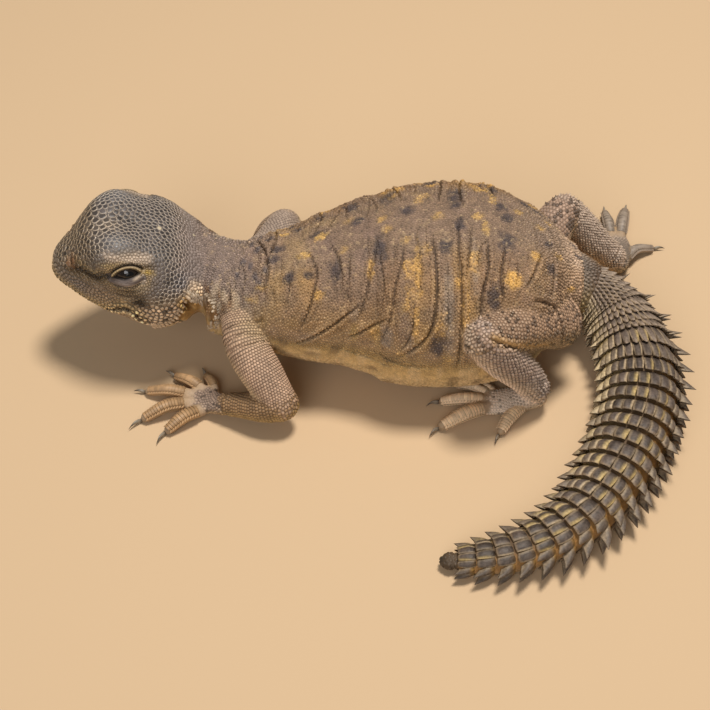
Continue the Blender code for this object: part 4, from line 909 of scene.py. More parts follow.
def paint_trunk(P):
    x, phi = body_coords(P)
    up = np.where(phi < -90, phi + 360, phi)
    f = 90 - np.abs(up - 90)
    K = np.array(FLANK)
    C = np.column_stack([np.interp(f, K[:, 0], K[:, k]) for k in (1, 2, 3)])
    n1, n2, n3 = fbm(P, 5.5, 21, 2), fbm(P, 1.7, 22, 2), vnoise(P, 0.55, 23)
    C = over(C, col(.185, .120, .098), smoothstep(0.0, 0.9, n1 + 0.55 * n2) * 0.60 * smoothstep(-8, 12, f))
    C = over(C, col(.330, .215, .095), smoothstep(0.15, 1.0, -n1 + 0.5 * n2) * 0.60 * smoothstep(-8, 8, f))
    # broad bands down the flanks, slate-grey and gold by turns
    band = vnoise(np.column_stack([x, up * 0.045, np.zeros(len(x))]), 2.5, 27)
    side = smoothstep(6, 20, f) * (1 - smoothstep(56, 74, f))
    C = over(C, col(.225, .160, .122), smoothstep(0.05, 0.60, band) * side * 0.60)
    C = over(C, col(.430, .262, .090), smoothstep(0.10, 0.70, -band) * side * 0.42)
    # lower flank: grey-green and slate patches, yellowish between
    low = smoothstep(-2, 10, f) * (1 - smoothstep(34, 58, f))
    C = over(C, col(.150, .114, .092), smoothstep(0.30, 0.95, vnoise(P * col(1, 1, .55), 2.6, 31)) * 0.55 * low)
    C = over(C, col(.430, .290, .110), smoothstep(0.25, 0.95, vnoise(P * col(1.2, 1, .4), 2.2, 33)) * 0.50 * low)
    # belly edge: pale with brown clouds
    C = over(C, col(.480, .345, .190), (1 - smoothstep(-9, 0, f)) * smoothstep(-0.1, 0.5, vnoise(np.column_stack([x, up * .04, 0 * x]), 1.1, 36)) * 0.55)
    C = over(C, col(.150, .098, .052), smoothstep(0.05, 0.55, vnoise(P, 2.0, 35)) * 0.62 * (1 - smoothstep(-3, 7, f)))
    # neck and nape
    C = over(C, col(.232, .172, .146), (1 - smoothstep(-21, -13, x)) * smoothstep(20, 45, f) * 0.8)
    C = over(C, col(.290, .200, .136), smoothstep(22, 30, x) * smoothstep(20, 40, f) * 0.7)
    C = over(C, col(.430, .300, .205), smoothstep(30, 35, x) * smoothstep(-5, 15, f) * 0.75)
    wob = 0.7 * vnoise(P, 0.9, 41) + 0.5 * vnoise(P, 0.4, 42)
    dark = spots(x, up, DARK_SPOTS + far_spots(DARK_SPOTS, 9), wob)
    slate = spots(x, up, [(14.0, 36, .9, 5.5, .8), (14.2, 14, .8, 2.4, .6), (4.8, 16, 1.2, 2.0, .8), (18.0, 58, .6, 3.4, .7), (-.2, 30, .8, 1.6, .5)], wob)
    C = over(C, col(.290, .245, .215), slate * 0.70)
    C = over(C, col(.066, .049, .048), dark * (0.88 + 0.12 * n3))
    # neck: slate streaks
    stripes = spots(x, up, [(-16.2, 76, .5, 1.6), (-13.8, 69, .4, 1.2), (-15.4, 63, .55, 1.8), (-17.4, 80, .5, 1.2), (-15.1, 95, .6, 1.0), (-14.6, 54, .45, 1.6),
                            (-16.2, 108, .5, 1.4), (-15.0, 122, .6, 1.6), (-18.3, 66, .4, 1.4)], wob)
    C = over(C, col(.095, .078, .080), stripes * 0.75)
    streak = vnoise(np.column_stack([x, up * 0.05, np.zeros(len(x))]), 0.62, 47)
    there = bump(x + 20.5, 4.2) * smoothstep(-20, -4, f) * (1 - smoothstep(34, 56, f))
    C = over(C, col(.560, .430, .300), smoothstep(0.10, 0.55, streak) * there * 0.85)
    C = over(C, col(.200, .090, .024), smoothstep(0.15, 0.55, -streak) * there * 0.85)
    for at, r, tone in (((-18.4, -5.3, 17.2), 1.1, .85), ((-18.3, -6.0, 15.6), 1.2, .95), ((-18.2, -5.6, 14.4), 1.2, .9), ((-20.5, -4.2, 17.6), .7, .8), ((-21.6, -3.0, 17.8), 1.0, .8)):
        C = over(C, col(.620, .470, .310), bump(np.linalg.norm((P - np.array(at)) * col(1.7, 1, .8), axis=1), r) * tone)
    C = over(C, col(.230, .090, .014), bump(np.linalg.norm((P - np.array((-19.3, -5.2, 15.8))) * col(1.9, 1, .6), axis=1), 1.0) * 0.95)
    gold = spots(x, up, GOLD_SPOTS + far_spots(GOLD_SPOTS, 13) + [(9.5, 54, .70, 4.6, .9), (9.1, 28, .65, 3.4, .75), (16.9, 38, .40, 4.6, .7), (13.9, 4, .9, 1.6, .6), (6.8, 6, .9, 1.0, .5)], wob)
    grain = smoothstep(-0.25, 0.45, vnoise(P, 0.36, 44) + 0.8 * gold - 0.40)
    C = over(C, col(.430, .265, .100), gold * 0.55)
    C = over(C, col(.700, .425, .125), gold * grain * 0.60)
    specks = smoothstep(0.42, 0.70, vnoise(P, 0.40, 45)) * smoothstep(2, 20, f)
    C = over(C, col(.560, .400, .225), specks * 0.36)
    dots = smoothstep(0.45, 0.75, vnoise(P, 0.44, 46)) * smoothstep(2, 20, f)
    C = over(C, C * 0.50, dots * 0.48)
    C = C * (1 + 0.20 * n3 + 0.14 * n2)[:, None]
    C = C * (1 + (col(1.0, .93, .83) - 1) * (side * smoothstep(-14, -6, x))[:, None])
    C = C * (1 - 0.20 * (1 - smoothstep(-18, -13, x)) * (1 - smoothstep(30, 60, f)))[:, None]
    # rump and nape are paler
    rump = np.exp(-((P - np.array([35.5, 6.0, 16.5])) ** 2).sum(1) / 32)
    nape = np.exp(-((P - np.array([-17.0, 3.5, 20.5])) ** 2).sum(1) / 32)
    return C * (0.96 + 0.30 * (1 - smoothstep(-8, 2, f)) + 0.24 * rump + 0.12 * nape)[:, None]

def amber(d, l, u):
    """Smooth skin below and behind the ear."""
    return smoothstep(18.6, 19.8, d + 0.55 * (u + 0.6)) * (1 - smoothstep(0.4, 1.6, u - 0.35 * (d - 20))) * smoothstep(4.5, 6.0, np.abs(l)) * (1 - smoothstep(24.2, 25.2, d)) * smoothstep(-5.5, -4.0, u)

STRIPE = [(3.0, 4.3, 5.2), (4.3, 5.5, 5.9), (5.2, 6.3, 6.2), (6.7, 7.6, 6.2), (7.9, 8.3, 6.8), (9.3, 9.0, 7.2)]
def paint_head(P):
    d, l, u = head_coords(P)
    m = np.abs(l)
    n1, n2, n3 = fbm(P, 4.0, 51, 2), vnoise(P, 1.1, 52), vnoise(P, 0.45, 53)
    C = np.tile(col(.104, .083, .074), (len(P), 1))
    C = over(C, col(.097, .075, .058), (1 - smoothstep(5.5, 8.5, d)) * smoothstep(2.5, 5, u))
    C = over(C, col(.098, .083, .079), smoothstep(8.0, 9.6, u) * smoothstep(5.5, 8, d))
    # painted bluish highlight over the brow bulges
    C = over(C, col(.145, .134, .132), bump(d - 10.2, 2.6) * bump(m - 5.8, 2.2) * smoothstep(8.6, 9.8, u) * 0.8)
    C = over(C, col(.190, .148, .130), smoothstep(17.5, 21.5, d) * smoothstep(2, 5, u))
    C = over(C, col(.112, .104, .112), bump(d - 19.6, 2.4) * bump(m - 8.8, 1.8) * bump(u - 5.6, 2.2) * 0.9)
    warm = fbm(P, 2.6, 57, 2)
    C = over(C, col(.200, .150, .092), smoothstep(0.15, 0.8, warm) * (1 - smoothstep(9, 12, d)) * smoothstep(4, 6, u) * 0.35)
    C = over(C, col(.270, .205, .150), bump(d - 8.6, 2.0) * bump(l - 1.6, 1.6) * smoothstep(8, 10, u) * 0.55)
    # cheek and lips
    C = over(C, col(.205, .142, .088), smoothstep(5.5, 8.5, m) * (1 - smoothstep(3.5, 6.0, u)) * 0.85)
    mu = np.interp(d, ML[:, 0], ML[:, 1])
    C = over(C, col(.235, .165, .072), bump(u - mu - 0.3, 1.9) * (1 - smoothstep(13.0, 15.5, d)) * 0.80)
    C = over(C, col(.420, .320, .185), bump(u - mu + 0.75, 0.55) * smoothstep(8.0, 9.5, d) * (1 - smoothstep(13.6, 15.2, d)) * 0.75)
    C = over(C, col(.380, .280, .170), (1 - smoothstep(-4.6, -1.2, u - 0.14 * np.maximum(m - 6, 0))) * 0.85)
    # jowl lit by pale domes
    C = over(C, col(.250, .190, .130), bump(d - 16.4, 3.0) * smoothstep(7.5, 9.5, m) * bump(u - 0.6, 3.4) * 0.6)
    C = over(C, col(.330, .230, .090), bump(d - 17.6, 2.0) * smoothstep(7.5, 9.5, m) * bump(u + 3.2, 1.3) * 0.6)
    # tan behind the ear, orange inside it
    C = over(C, col(.560, .420, .290), bump(d - 21.9, 1.1) * bump(u - 4.2, 1.6) * smoothstep(7.0, 8.2, m) * 0.85)
    C = over(C, col(.420, .270, .120), bump(d - 22.4, 1.6) * bump(u - 0.6, 2.4) * smoothstep(6.5, 8.0, m) * 0.9)
    # dark stripe from the nostril to the eye, dark spots on the cheek
    H = np.column_stack([d, u])
    line = even([(a, c) for a, b, c in STRIPE], 24)
    dd = curve_dist(H, line)
    side_on = smoothstep(3.0, 4.2, m)
    C = over(C, col(.330, .235, .105), bump(dd - 0.85, 0.45) * (H[:, 1] > np.interp(d, line[:, 0], line[:, 1])) * side_on * (d < 10) * (d > 3.4) * 0.55)
    C = over(C, col(.300, .205, .080), bump(dd + 0.0, 1.15) * (H[:, 1] < np.interp(d, line[:, 0], line[:, 1])) * side_on * (d < 9.5) * 0.35)
    C = over(C, col(.030, .018, .009), bump(dd, 0.50) * side_on * 0.96)
    C = over(C, col(.026, .018, .013), np.maximum(bump(np.hypot(d - 13.3, (u - 3.84) * .9), 1.0), 0.8 * bump(np.hypot(d - 12.3, (u - 3.1) * .9), .6)) * (m > 7) * 1.0)
    C = over(C, col(.046, .036, .032), bump(np.hypot(d - 17.7, u - 6.9), .6) * (m > 6) * 0.8)
    # dark line that frames the ear above, smooth amber skin below it
    C = over(C, col(.030, .018, .010), bump(np.hypot((d - 19.6) * .8, u - 3.4), .55) * (m > 7) * 0.8)
    # nostril
    for sgn in (1, -1):
        q = np.linalg.norm((P - head_point(2.95, sgn * 3.7, 6.05)), axis=1)
        C = over(C, col(.360, .200, .090), bump(q, 1.0) * 0.75)
        # painted shade in the nostril pit
        C = over(C, col(.070, .020, .010), bump(q, 0.42) * 0.95)
        e = P - head_point(20.9, sgn * 9.8, 1.6)
        long_ax = unit(HU * 0.86 + HF * 0.50)
        wide_ax = unit(HF - long_ax * (HF @ long_ax))
        qe = np.sqrt((e @ long_ax / 2.1) ** 2 + (e @ wide_ax / 0.75) ** 2)
        side = (e @ np.cross(long_ax, wide_ax)) * 0 + (np.linalg.norm(e, axis=1) < 4)
        C = over(C, col(.430, .270, .110), side * (1 - smoothstep(1.0, 1.8, qe)) * 0.8)
        # painted shade deep in the ear opening
        C = over(C, col(.090, .030, .008), side * (1 - smoothstep(0.45, 1.05, qe)) * 0.97)
    am = amber(d, l, u)
    fine = vnoise(np.column_stack([d * .45, l * .3, u]), 0.8, 58)
    C = over(C, col(.400, .235, .082) * (1 + 0.25 * fine)[:, None], am * 0.92)
    C = over(C, col(.560, .400, .220), am * bump(u + 1.5 + 0.25 * np.sin(d * 1.3), 0.24) * 0.7)
    C = C * (1 + 0.10 * n1 + 0.10 * n2 + 0.08 * n3)[:, None]
    # round the eyes
    for sgn in (1, -1):
        at, along, above, out = EYES[sgn]
        Q = P - at
        near = np.where((Q @ out > 0) & (np.linalg.norm(Q, axis=1) < 6.5))[0]
        if not len(near):
            continue
        a2, b2 = Q[near] @ along, Q[near] @ above
        sd, up, low, a, b, r, front = eye_part(P[near], sgn)
        K = C[near]
        top = up < low
        crease_b = -1.62 + 0.10 * (a - 0.2) ** 2
        ring = np.hypot(a2 / 3.1, (b2 - 0.1) / 2.6)
        inner = 1 - smoothstep(0.92, 1.08, ring)
        K = over(K, col(.310, .215, .112), (1 - smoothstep(0.9, 1.7, ring)) * 0.75)
        # pale brow skin over the eye, darker towards the back
        K = over(K, col(.430, .335, .255), bump(b2 - 2.95 - 0.10 * a2, 0.62) * smoothstep(-4.6, -3.0, a2) * (1 - smoothstep(2.6, 4.2, a2)) * 0.85)
        K = over(K, col(.340, .250, .120), bump(b2 - 2.15 + 0.16 * a2, 0.40) * bump(a2 - 2.4, 1.6) * 0.7)
        # lid rim, groove and ledge
        K = over(K, col(.330, .225, .100), bump(up - 1.05, 0.30) * top * inner * 0.6)
        # painted shade in the groove over the upper lid
        K = over(K, col(.022, .014, .008), bump(up - 0.52, 0.17) * top * inner * 0.95)
        K = over(K, col(.430, .330, .190), (1 - smoothstep(0.13, 0.24, up)) * top * inner)
        K = over(K, col(.120, .070, .025), bump(up - 0.05, 0.06) * top * inner * 0.7)
        lower = (~top) & (b > crease_b) & (sd > 0)
        K = over(K, col(.128, .100, .090), lower * inner)
        # paler grey band over the lower lid's bulge: lid colour with painted highlight
        K = over(K, col(.290, .240, .220), lower * inner * bump(b + 0.78, 0.36) * bump(a + 0.0, 1.3) * 0.9)
        K = over(K, col(.060, .045, .040), lower * inner * bump(b + 0.55 - 0.1 * a, 0.10) * bump(a + 0.3, 1.2) * 0.6)
        K = over(K, col(.020, .014, .012), lower * inner * bump(low, 0.14) * smoothstep(-1.0, 0.2, a) * 0.85)
        # pale scaly rim at the rear lower edge
        rim = bump(b - crease_b - 0.16, 0.20) * smoothstep(0.6, -0.6, a) + bump(low - 0.28, 0.26) * smoothstep(-0.9, -1.7, a)
        K = over(K, col(.520, .420, .310), (~top) * inner * np.clip(rim, 0, 1) * 0.9)
        # painted shade in the crease under the lower lid
        K = over(K, col(.024, .014, .008), bump(b - crease_b + 0.05, 0.12) * (~top) * bump(a2, 3.0) * (np.abs(a2) < 2.9) * 0.95)
        for drop, half, dark in ((0.42, 0.10, .75), (0.80, 0.12, .85), (1.30, 0.10, .6)):
            line = -1.95 - drop + 0.09 * (a2 - 0.2) ** 2 * (1 - 0.2 * drop)
            K = over(K, col(.030, .018, .009), bump(b2 - line, half) * bump(a2 + 0.2, 2.1) * dark)
            K = over(K, col(.330, .235, .125), bump(b2 - line - 0.24, 0.10) * bump(a2 + 0.2, 1.9) * 0.55)
        # yellow corner behind the eye with a dark line over it, dark notch in front
        K = over(K, col(.360, .240, .055), bump(np.hypot((a2 + 3.15) / 0.85, (b2 - 0.72 - 0.14 * (a2 + 3)) / 0.36), 1.0) * 0.95)
        K = over(K, col(.050, .030, .014), bump(b2 - 1.62 - 0.10 * (a2 + 3), 0.20) * bump(a2 + 3.5, 1.2) * 0.85)
        K = over(K, col(.030, .020, .010), bump(b2 + 0.12 - 0.22 * (a2 - 2.6), 0.22) * bump(a2 - 2.9, 1.0) * 0.9)
        # painted shade along the edge of the opening and inside the socket behind the eyeball
        K = over(K, col(.020, .014, .009), (1 - smoothstep(0.02, 0.10, np.abs(sd))) * (sd > -0.1) * inner * 0.5)
        K = over(K, col(.018, .012, .008), (sd < 0) * inner)
        C[near] = K
    return C

LIMB_COLOUR = {  # upper side, lower side
    # the near forearm is darker and more orange: painted shade
    "upper_arm_left": (col(.330, .218, .146), col(.40, .29, .17)), "forearm_left": (col(.195, .116, .056), col(.26, .17, .07)),
    "upper_arm_right": (col(.240, .180, .140), col(.36, .26, .17)), "forearm_right": (col(.270, .190, .130), col(.33, .24, .14)),
    "thigh_left": (col(.335, .214, .136), col(.40, .26, .13)), "shin_left": (col(.280, .208, .165), col(.36, .265, .185)),
    # the far shin is lighter: painted light
    "thigh_right": (col(.300, .200, .142), col(.40, .28, .15)), "shin_right": (col(.330, .248, .190), col(.42, .30, .19)),
    "hand_left": (col(.205, .145, .108), col(.32, .22, .12)), "hand_right": (col(.270, .190, .140), col(.38, .26, .14)),
    # the near foot is painted far paler than the far foot: its own pale colour with painted light
    "foot_left": (col(.660, .520, .400), col(.54, .40, .25)), "foot_right": (col(.250, .190, .145), col(.36, .26, .15)),
    "toe": (col(.400, .260, .135), col(.45, .31, .16))}

def paint_limb(P, name):
    tube = TUBES[name]
    s, ang, k = tube.coords(P)
    top, under = LIMB_COLOUR["toe" if name.startswith("toe") else name]
    t = smoothstep(-0.5, 0.5, np.sin(ang))
    C = under * (1 - t)[:, None] + top * t[:, None]
    n1, n2 = fbm(P, 2.4, 61, 2), vnoise(P, 0.7, 62)
    C = C * (1 + 0.16 * n1 + 0.10 * n2)[:, None]
    if name.startswith("toe"):
        C = over(C, col(.330, .235, .150), smoothstep(0.70, 0.98, s / tube.long) * 0.8)
        C = over(C, col(.430, .320, .230), (1 - smoothstep(0.0, 0.35, s / tube.long)) * 0.7)
    if name == "shin_left":
        turn = (np.degrees(ang) - 20 + 180) % 360 - 180
        C = over(C, col(.540, .425, .335), smoothstep(40, 85, np.abs(turn)) * smoothstep(0.5, 4.5, s) * 0.90)
        C = over(C, col(.190, .120, .084), (1 - smoothstep(20, 55, np.abs(turn))) * (1 - smoothstep(9.5, 12, s)) * 0.45)
        C = over(C, col(.150, .100, .078), smoothstep(0.1, 0.8, n1) * 0.3)
        bars = 0.5 * smoothstep(0.2, 0.7, np.sin(s * 2 * math.pi / 0.9)) * bump(((np.degrees(ang) - 165 + 180) % 360 - 180), 45)
        C = over(C, col(.070, .045, .030), bars * 0.6)
    if name == "thigh_left":
        C = over(C, col(.480, .280, .095), bump(((np.degrees(ang) + 12 + 180) % 360 - 180), 24) * (1 - smoothstep(9, 14, s)) * 0.8)
        C = over(C, col(.190, .118, .074), smoothstep(11.5, 15.5, s) * 0.45)
    if name == "upper_arm_left":
        C = over(C, col(.300, .235, .090), bump(s - 3.0, 3.0) * bump(((np.degrees(ang) - 130 + 180) % 360 - 180), 60) * 0.35)
    return C

def paint_tail(P):
    C3, T3, S3, U3 = tail_at(TAIL_S)
    best = np.empty(len(P), int)
    for i in range(0, len(P), 20000):
        best[i:i + 20000] = ((P[i:i + 20000, None] - C3[None]) ** 2).sum(2).argmin(1)
    Q = P - C3[best]
    ang = np.degrees(np.arctan2((Q * U3[best]).sum(1), (Q * S3[best]).sum(1)))
    top = smoothstep(-0.2, 0.5, np.sin(np.radians(ang)))
    C = over(np.tile(col(.360, .245, .130), (len(P), 1)), col(.110, .064, .030), top)
    C = over(C, col(.110, .072, .050), top * (1 - smoothstep(9, 22, TAIL_S[best])) * 0.8)
    C = over(C, col(.230, .180, .140), (1 - smoothstep(0.5, 4.5, TAIL_S[best])) * 0.9)
    C = over(C, col(.340, .170, .048), bump(((ang - 160 + 180) % 360 - 180), 32) * 0.80)
    C = over(C, col(.400, .280, .120), bump(((ang - 8 + 180) % 360 - 180), 34) * 0.8)
    C = over(C, col(.088, .058, .034), smoothstep(TAIL_LONG - 3.4, TAIL_LONG - 2.2, TAIL_S[best]))
    C = over(C, col(.022, .017, .010), smoothstep(TAIL_LONG - 1.0, TAIL_LONG - 0.1, TAIL_S[best] + 0.5 * vnoise(P, 0.9, 72)) * 0.8)
    return C * (1 + 0.18 * vnoise(P, 1.2, 71))[:, None]

TAIL_S = np.linspace(0, TAIL_LONG, 220)

def crease_shade(C, depth):
    """Paints shade into creases and a painted highlight on the skin at their lips; depth is the push at each point."""
    C = over(C, C * col(.26, .23, .20), smoothstep(0.04, 0.34, -depth) * 0.95)
    return over(C, C * 1.35 + col(.03, .022, .012), smoothstep(0.05, 0.24, depth) * 0.40)

def paint(P, W, label):
    C = np.zeros((len(P), 3))
    total = np.zeros(len(P))
    jobs = [(W[:, 0], paint_head), (W[:, 1], paint_trunk), (W[:, 6], paint_tail)]
    for w, fn in jobs:
        on = np.where(w > 0.01)[0]
        if len(on):
            C[on] += fn(P[on]) * w[on, None]
            total[on] += w[on]
    limb = W[:, 2:6].sum(1)
    on = np.where(limb > 0.01)[0]
    if len(on):
        K = np.zeros((len(on), 3))
        lab = LIMB_LABEL(P[on], label[on])
        for i in np.unique(lab):
            pick = lab == i
            K[pick] = paint_limb(P[on][pick], SOURCES[i])
        C[on] += K * limb[on, None]
        total[on] += limb[on]
    return C / np.maximum(total, 1e-6)[:, None]

LIMB_SOURCES = [i for i, n in enumerate(SOURCES) if n in TUBES]
LIMB_POINTS = V[np.isin(SRC, LIMB_SOURCES)]
LIMB_OF = SRC[np.isin(SRC, LIMB_SOURCES)]
LIMB_TREE = tree_of(LIMB_POINTS)
def LIMB_LABEL(P, label):
    """The nearest limb piece, for points whose own label is another part."""
    out = label.copy()
    lost = np.where(~np.isin(label, LIMB_SOURCES))[0]
    for i in lost:
        out[i] = LIMB_OF[LIMB_TREE.find(P[i])[1]]
    return out

C_SKIN = paint(P, W, LABEL)
x, phi = body_coords(P)
phi_up = np.where(phi < -90, phi + 360, phi)
on = np.where(W[:, 1] > 0.3)[0]
depth = np.zeros(len(P))
depth[on] = fold_push(x[on], phi_up[on], SKIN_FOLDS)
depth += line_push(P, LINES + far(LINES)) * 1.2
depth += line_push(P, snapped(P, LEG_LINES)) * 1.1
FOLD_D = curve_dist(P, np.array(snapped(P, [(THIGH_FOLD, 0, 0, 0)])[0][0]))
C_SKIN = over(C_SKIN, col(.520, .310, .120), bump(FOLD_D, 0.62) * 0.92)
# painted shade in the creases and painted highlight along their lips
C_SKIN = crease_shade(C_SKIN, depth)
DEPTH = depth
d, l, u = head_coords(P)
hd = np.where((W[:, 0] > 0.3) & (d < 15.6))[0]
dist = curve_dist(np.column_stack([d[hd], u[hd]]), mouth_curve[mouth_curve[:, 0] < 14.3])
# painted shade in the mouth groove
C_SKIN[hd] = over(C_SKIN[hd], col(.030, .016, .008), bump(dist, 0.26) * (1 - smoothstep(13.4, 14.8, d[hd])) * (np.abs(l[hd]) > 1.2 * smoothstep(2.5, 6, d[hd])) * 0.92)
# a light even-out so that neighbouring parts join softly
join = np.clip(1.2 * (1 - (W ** 2).sum(1)), 0, 1)
C_SKIN = laplace(C_SKIN, E, 4, 0.5 * join)
C_SKIN = np.clip(C_SKIN, 0.004, 0.95)
tick("painted")

# ------------------------------------------------------------------ materials
def new_material(name):
    m = bpy.data.materials.new(name)
    m.use_nodes = True
    nt = m.node_tree
    return m, nt, nt.nodes["Principled BSDF"]

def skin_material(name, rough, specular, bumps, tint=0.10, coat=0.0):
    """Colour from the painted markings, broken up by fine noise; bumps is a list of (scale, strength, distance in mm)."""
    m, nt, b = new_material(name)
    tex = nt.nodes.new("ShaderNodeTexCoord")
    att = nt.nodes.new("ShaderNodeVertexColor")
    att.layer_name = "Col"
    noise = nt.nodes.new("ShaderNodeTexNoise")
    noise.inputs["Scale"].default_value = 2600
    noise.inputs["Detail"].default_value = 3
    ramp = nt.nodes.new("ShaderNodeMapRange")
    ramp.inputs["From Min"].default_value = 0.3
    ramp.inputs["From Max"].default_value = 0.7
    ramp.inputs["To Min"].default_value = 1 - tint
    ramp.inputs["To Max"].default_value = 1 + tint
    mul = nt.nodes.new("ShaderNodeVectorMath")
    mul.operation = "SCALE"
    nt.links.new(tex.outputs["Object"], noise.inputs["Vector"])
    nt.links.new(noise.outputs["Fac"], ramp.inputs["Value"])
    nt.links.new(att.outputs["Color"], mul.inputs[0])
    nt.links.new(ramp.outputs["Result"], mul.inputs["Scale"])
    nt.links.new(mul.outputs["Vector"], b.inputs["Base Color"])
    rr = nt.nodes.new("ShaderNodeMapRange")
    rr.inputs["To Min"].default_value = rough - 0.10
    rr.inputs["To Max"].default_value = rough + 0.12
    nt.links.new(noise.outputs["Fac"], rr.inputs["Value"])
    nt.links.new(rr.outputs["Result"], b.inputs["Roughness"])
    b.inputs["Specular IOR Level"].default_value = specular
    last = None
    for kind, scale, strength, mm in bumps:
        if kind == "cells":
            t = nt.nodes.new("ShaderNodeTexVoronoi")
            t.feature = "DISTANCE_TO_EDGE"
            t.inputs["Scale"].default_value = scale
            h = nt.nodes.new("ShaderNodeMapRange")
            h.inputs["From Max"].default_value = 0.25
            nt.links.new(t.outputs["Distance"], h.inputs["Value"])
            height = h.outputs["Result"]
        else:
            t = nt.nodes.new("ShaderNodeTexNoise")
            t.inputs["Scale"].default_value = scale
            t.inputs["Detail"].default_value = 4
            height = t.outputs["Fac"]
        nt.links.new(tex.outputs["Object"], t.inputs["Vector"])
        bp = nt.nodes.new("ShaderNodeBump")
        bp.inputs["Strength"].default_value = strength
        bp.inputs["Distance"].default_value = mm * MM
        nt.links.new(height, bp.inputs["Height"])
        if last:
            nt.links.new(last, bp.inputs["Normal"])
        last = bp.outputs["Normal"]
    nt.links.new(last, b.inputs["Normal"])
    return m

MAT_SKIN = skin_material("skin", 0.62, 0.35, [("cells", 2600, 0.55, 0.06), ("noise", 5200, 0.35, 0.04)])
MAT_SCALE = skin_material("scales", 0.48, 0.36, [("noise", 5200, 0.35, 0.03)])
MAT_HEAD = skin_material("head_plates", 0.34, 0.33, [("noise", 6500, 0.30, 0.025)])
MAT_PLATE = skin_material("tail_armour", 0.50, 0.32, [("noise", 3000, 0.80, 0.09), ("noise", 9000, 0.4, 0.03)], tint=0.30)
MAT_CLAW = skin_material("claw_horn", 0.30, 0.5, [("noise", 4200, 0.25, 0.02)], tint=0.08)

def set_colours(me, C):
    ca = me.color_attributes.new("Col", "FLOAT_COLOR", "POINT")
    rgba = np.ones((len(me.vertices), 4), np.float32)
    rgba[:, :3] = C
    ca.data.foreach_set("color", rgba.ravel())
    me.color_attributes.active_color = ca

def piece(name, P, quads, tris, C, mat, uv=None, smooth_shade=True):
    """Writes a mesh in metres from points in table millimetres and hands it to the frame."""
    me, loops = raw_mesh(name, (P + SHIFT) * MM, quads, tris)
    set_colours(me, np.clip(C, 0.003, 0.98))
    if uv is not None:
        layer = me.uv_layers.new(name="OFBake")
        layer.data.foreach_set("uv", np.ascontiguousarray(uv[loops], np.float32).ravel())
    me.polygons.foreach_set("use_smooth", np.full(len(me.polygons), smooth_shade))
    me.materials.append(mat)
    ob = bpy.data.objects.new(name, me)
    bpy.context.scene.collection.objects.link(ob)
    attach(ob, "root")
    PIECES.append((name, sum(len(p.vertices) - 2 for p in me.polygons) if len(me.polygons) < 5000 else int(len(quads) * 2 + len(tris))))
    return ob

PIECES = []
# the skin itself
set_points((P + SHIFT) * MM)
skin_me.name = "skin"
skin_me.materials.clear()
skin_me.materials.append(MAT_SKIN)
set_colours(skin_me, C_SKIN)
skin_me.polygons.foreach_set("use_smooth", np.ones(len(skin_me.polygons), bool))
skin = bpy.data.objects.new("skin", skin_me)
bpy.context.scene.collection.objects.link(skin)
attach(skin, "root")
CLAWS = [n for n in NODES if n.startswith("claw_")]
EYE_NODES = ["eye_left", "eye_right"]
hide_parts(*[n for n in NODES if n not in CLAWS and n not in EYE_NODES])
PIECES.append(("skin", len(skin_me.polygons) * 2))

# ------------------------------------------------------------------ roots of the scales
skin_me.calc_loop_triangles()
FACES = np.empty(len(skin_me.loop_triangles) * 3, np.int32)
skin_me.loop_triangles.foreach_get("vertices", FACES)
FACES = FACES.reshape(-1, 3)
BVH = BVHTree.FromPolygons(P.tolist(), FACES.tolist())

def onto_skin(Q):
    """Nearest point of the skin, smooth normal, nearest vertex and distance for each point."""
    loc, face, dist = np.empty_like(Q), np.empty(len(Q), int), np.empty(len(Q))
    for i, q in enumerate(Q.tolist()):
        l0, n0, f0, d0 = BVH.find_nearest(q)
        loc[i], face[i], dist[i] = l0, f0, d0
    corners = FACES[face]
    which = ((P[corners] - loc[:, None]) ** 2).sum(2)
    near = corners[np.arange(len(Q)), which.argmin(1)]
    w = 1 / (np.sqrt(which) + 0.02)
    nn = unit((N[corners] * w[..., None]).sum(1))
    return loc, nn, near, dist

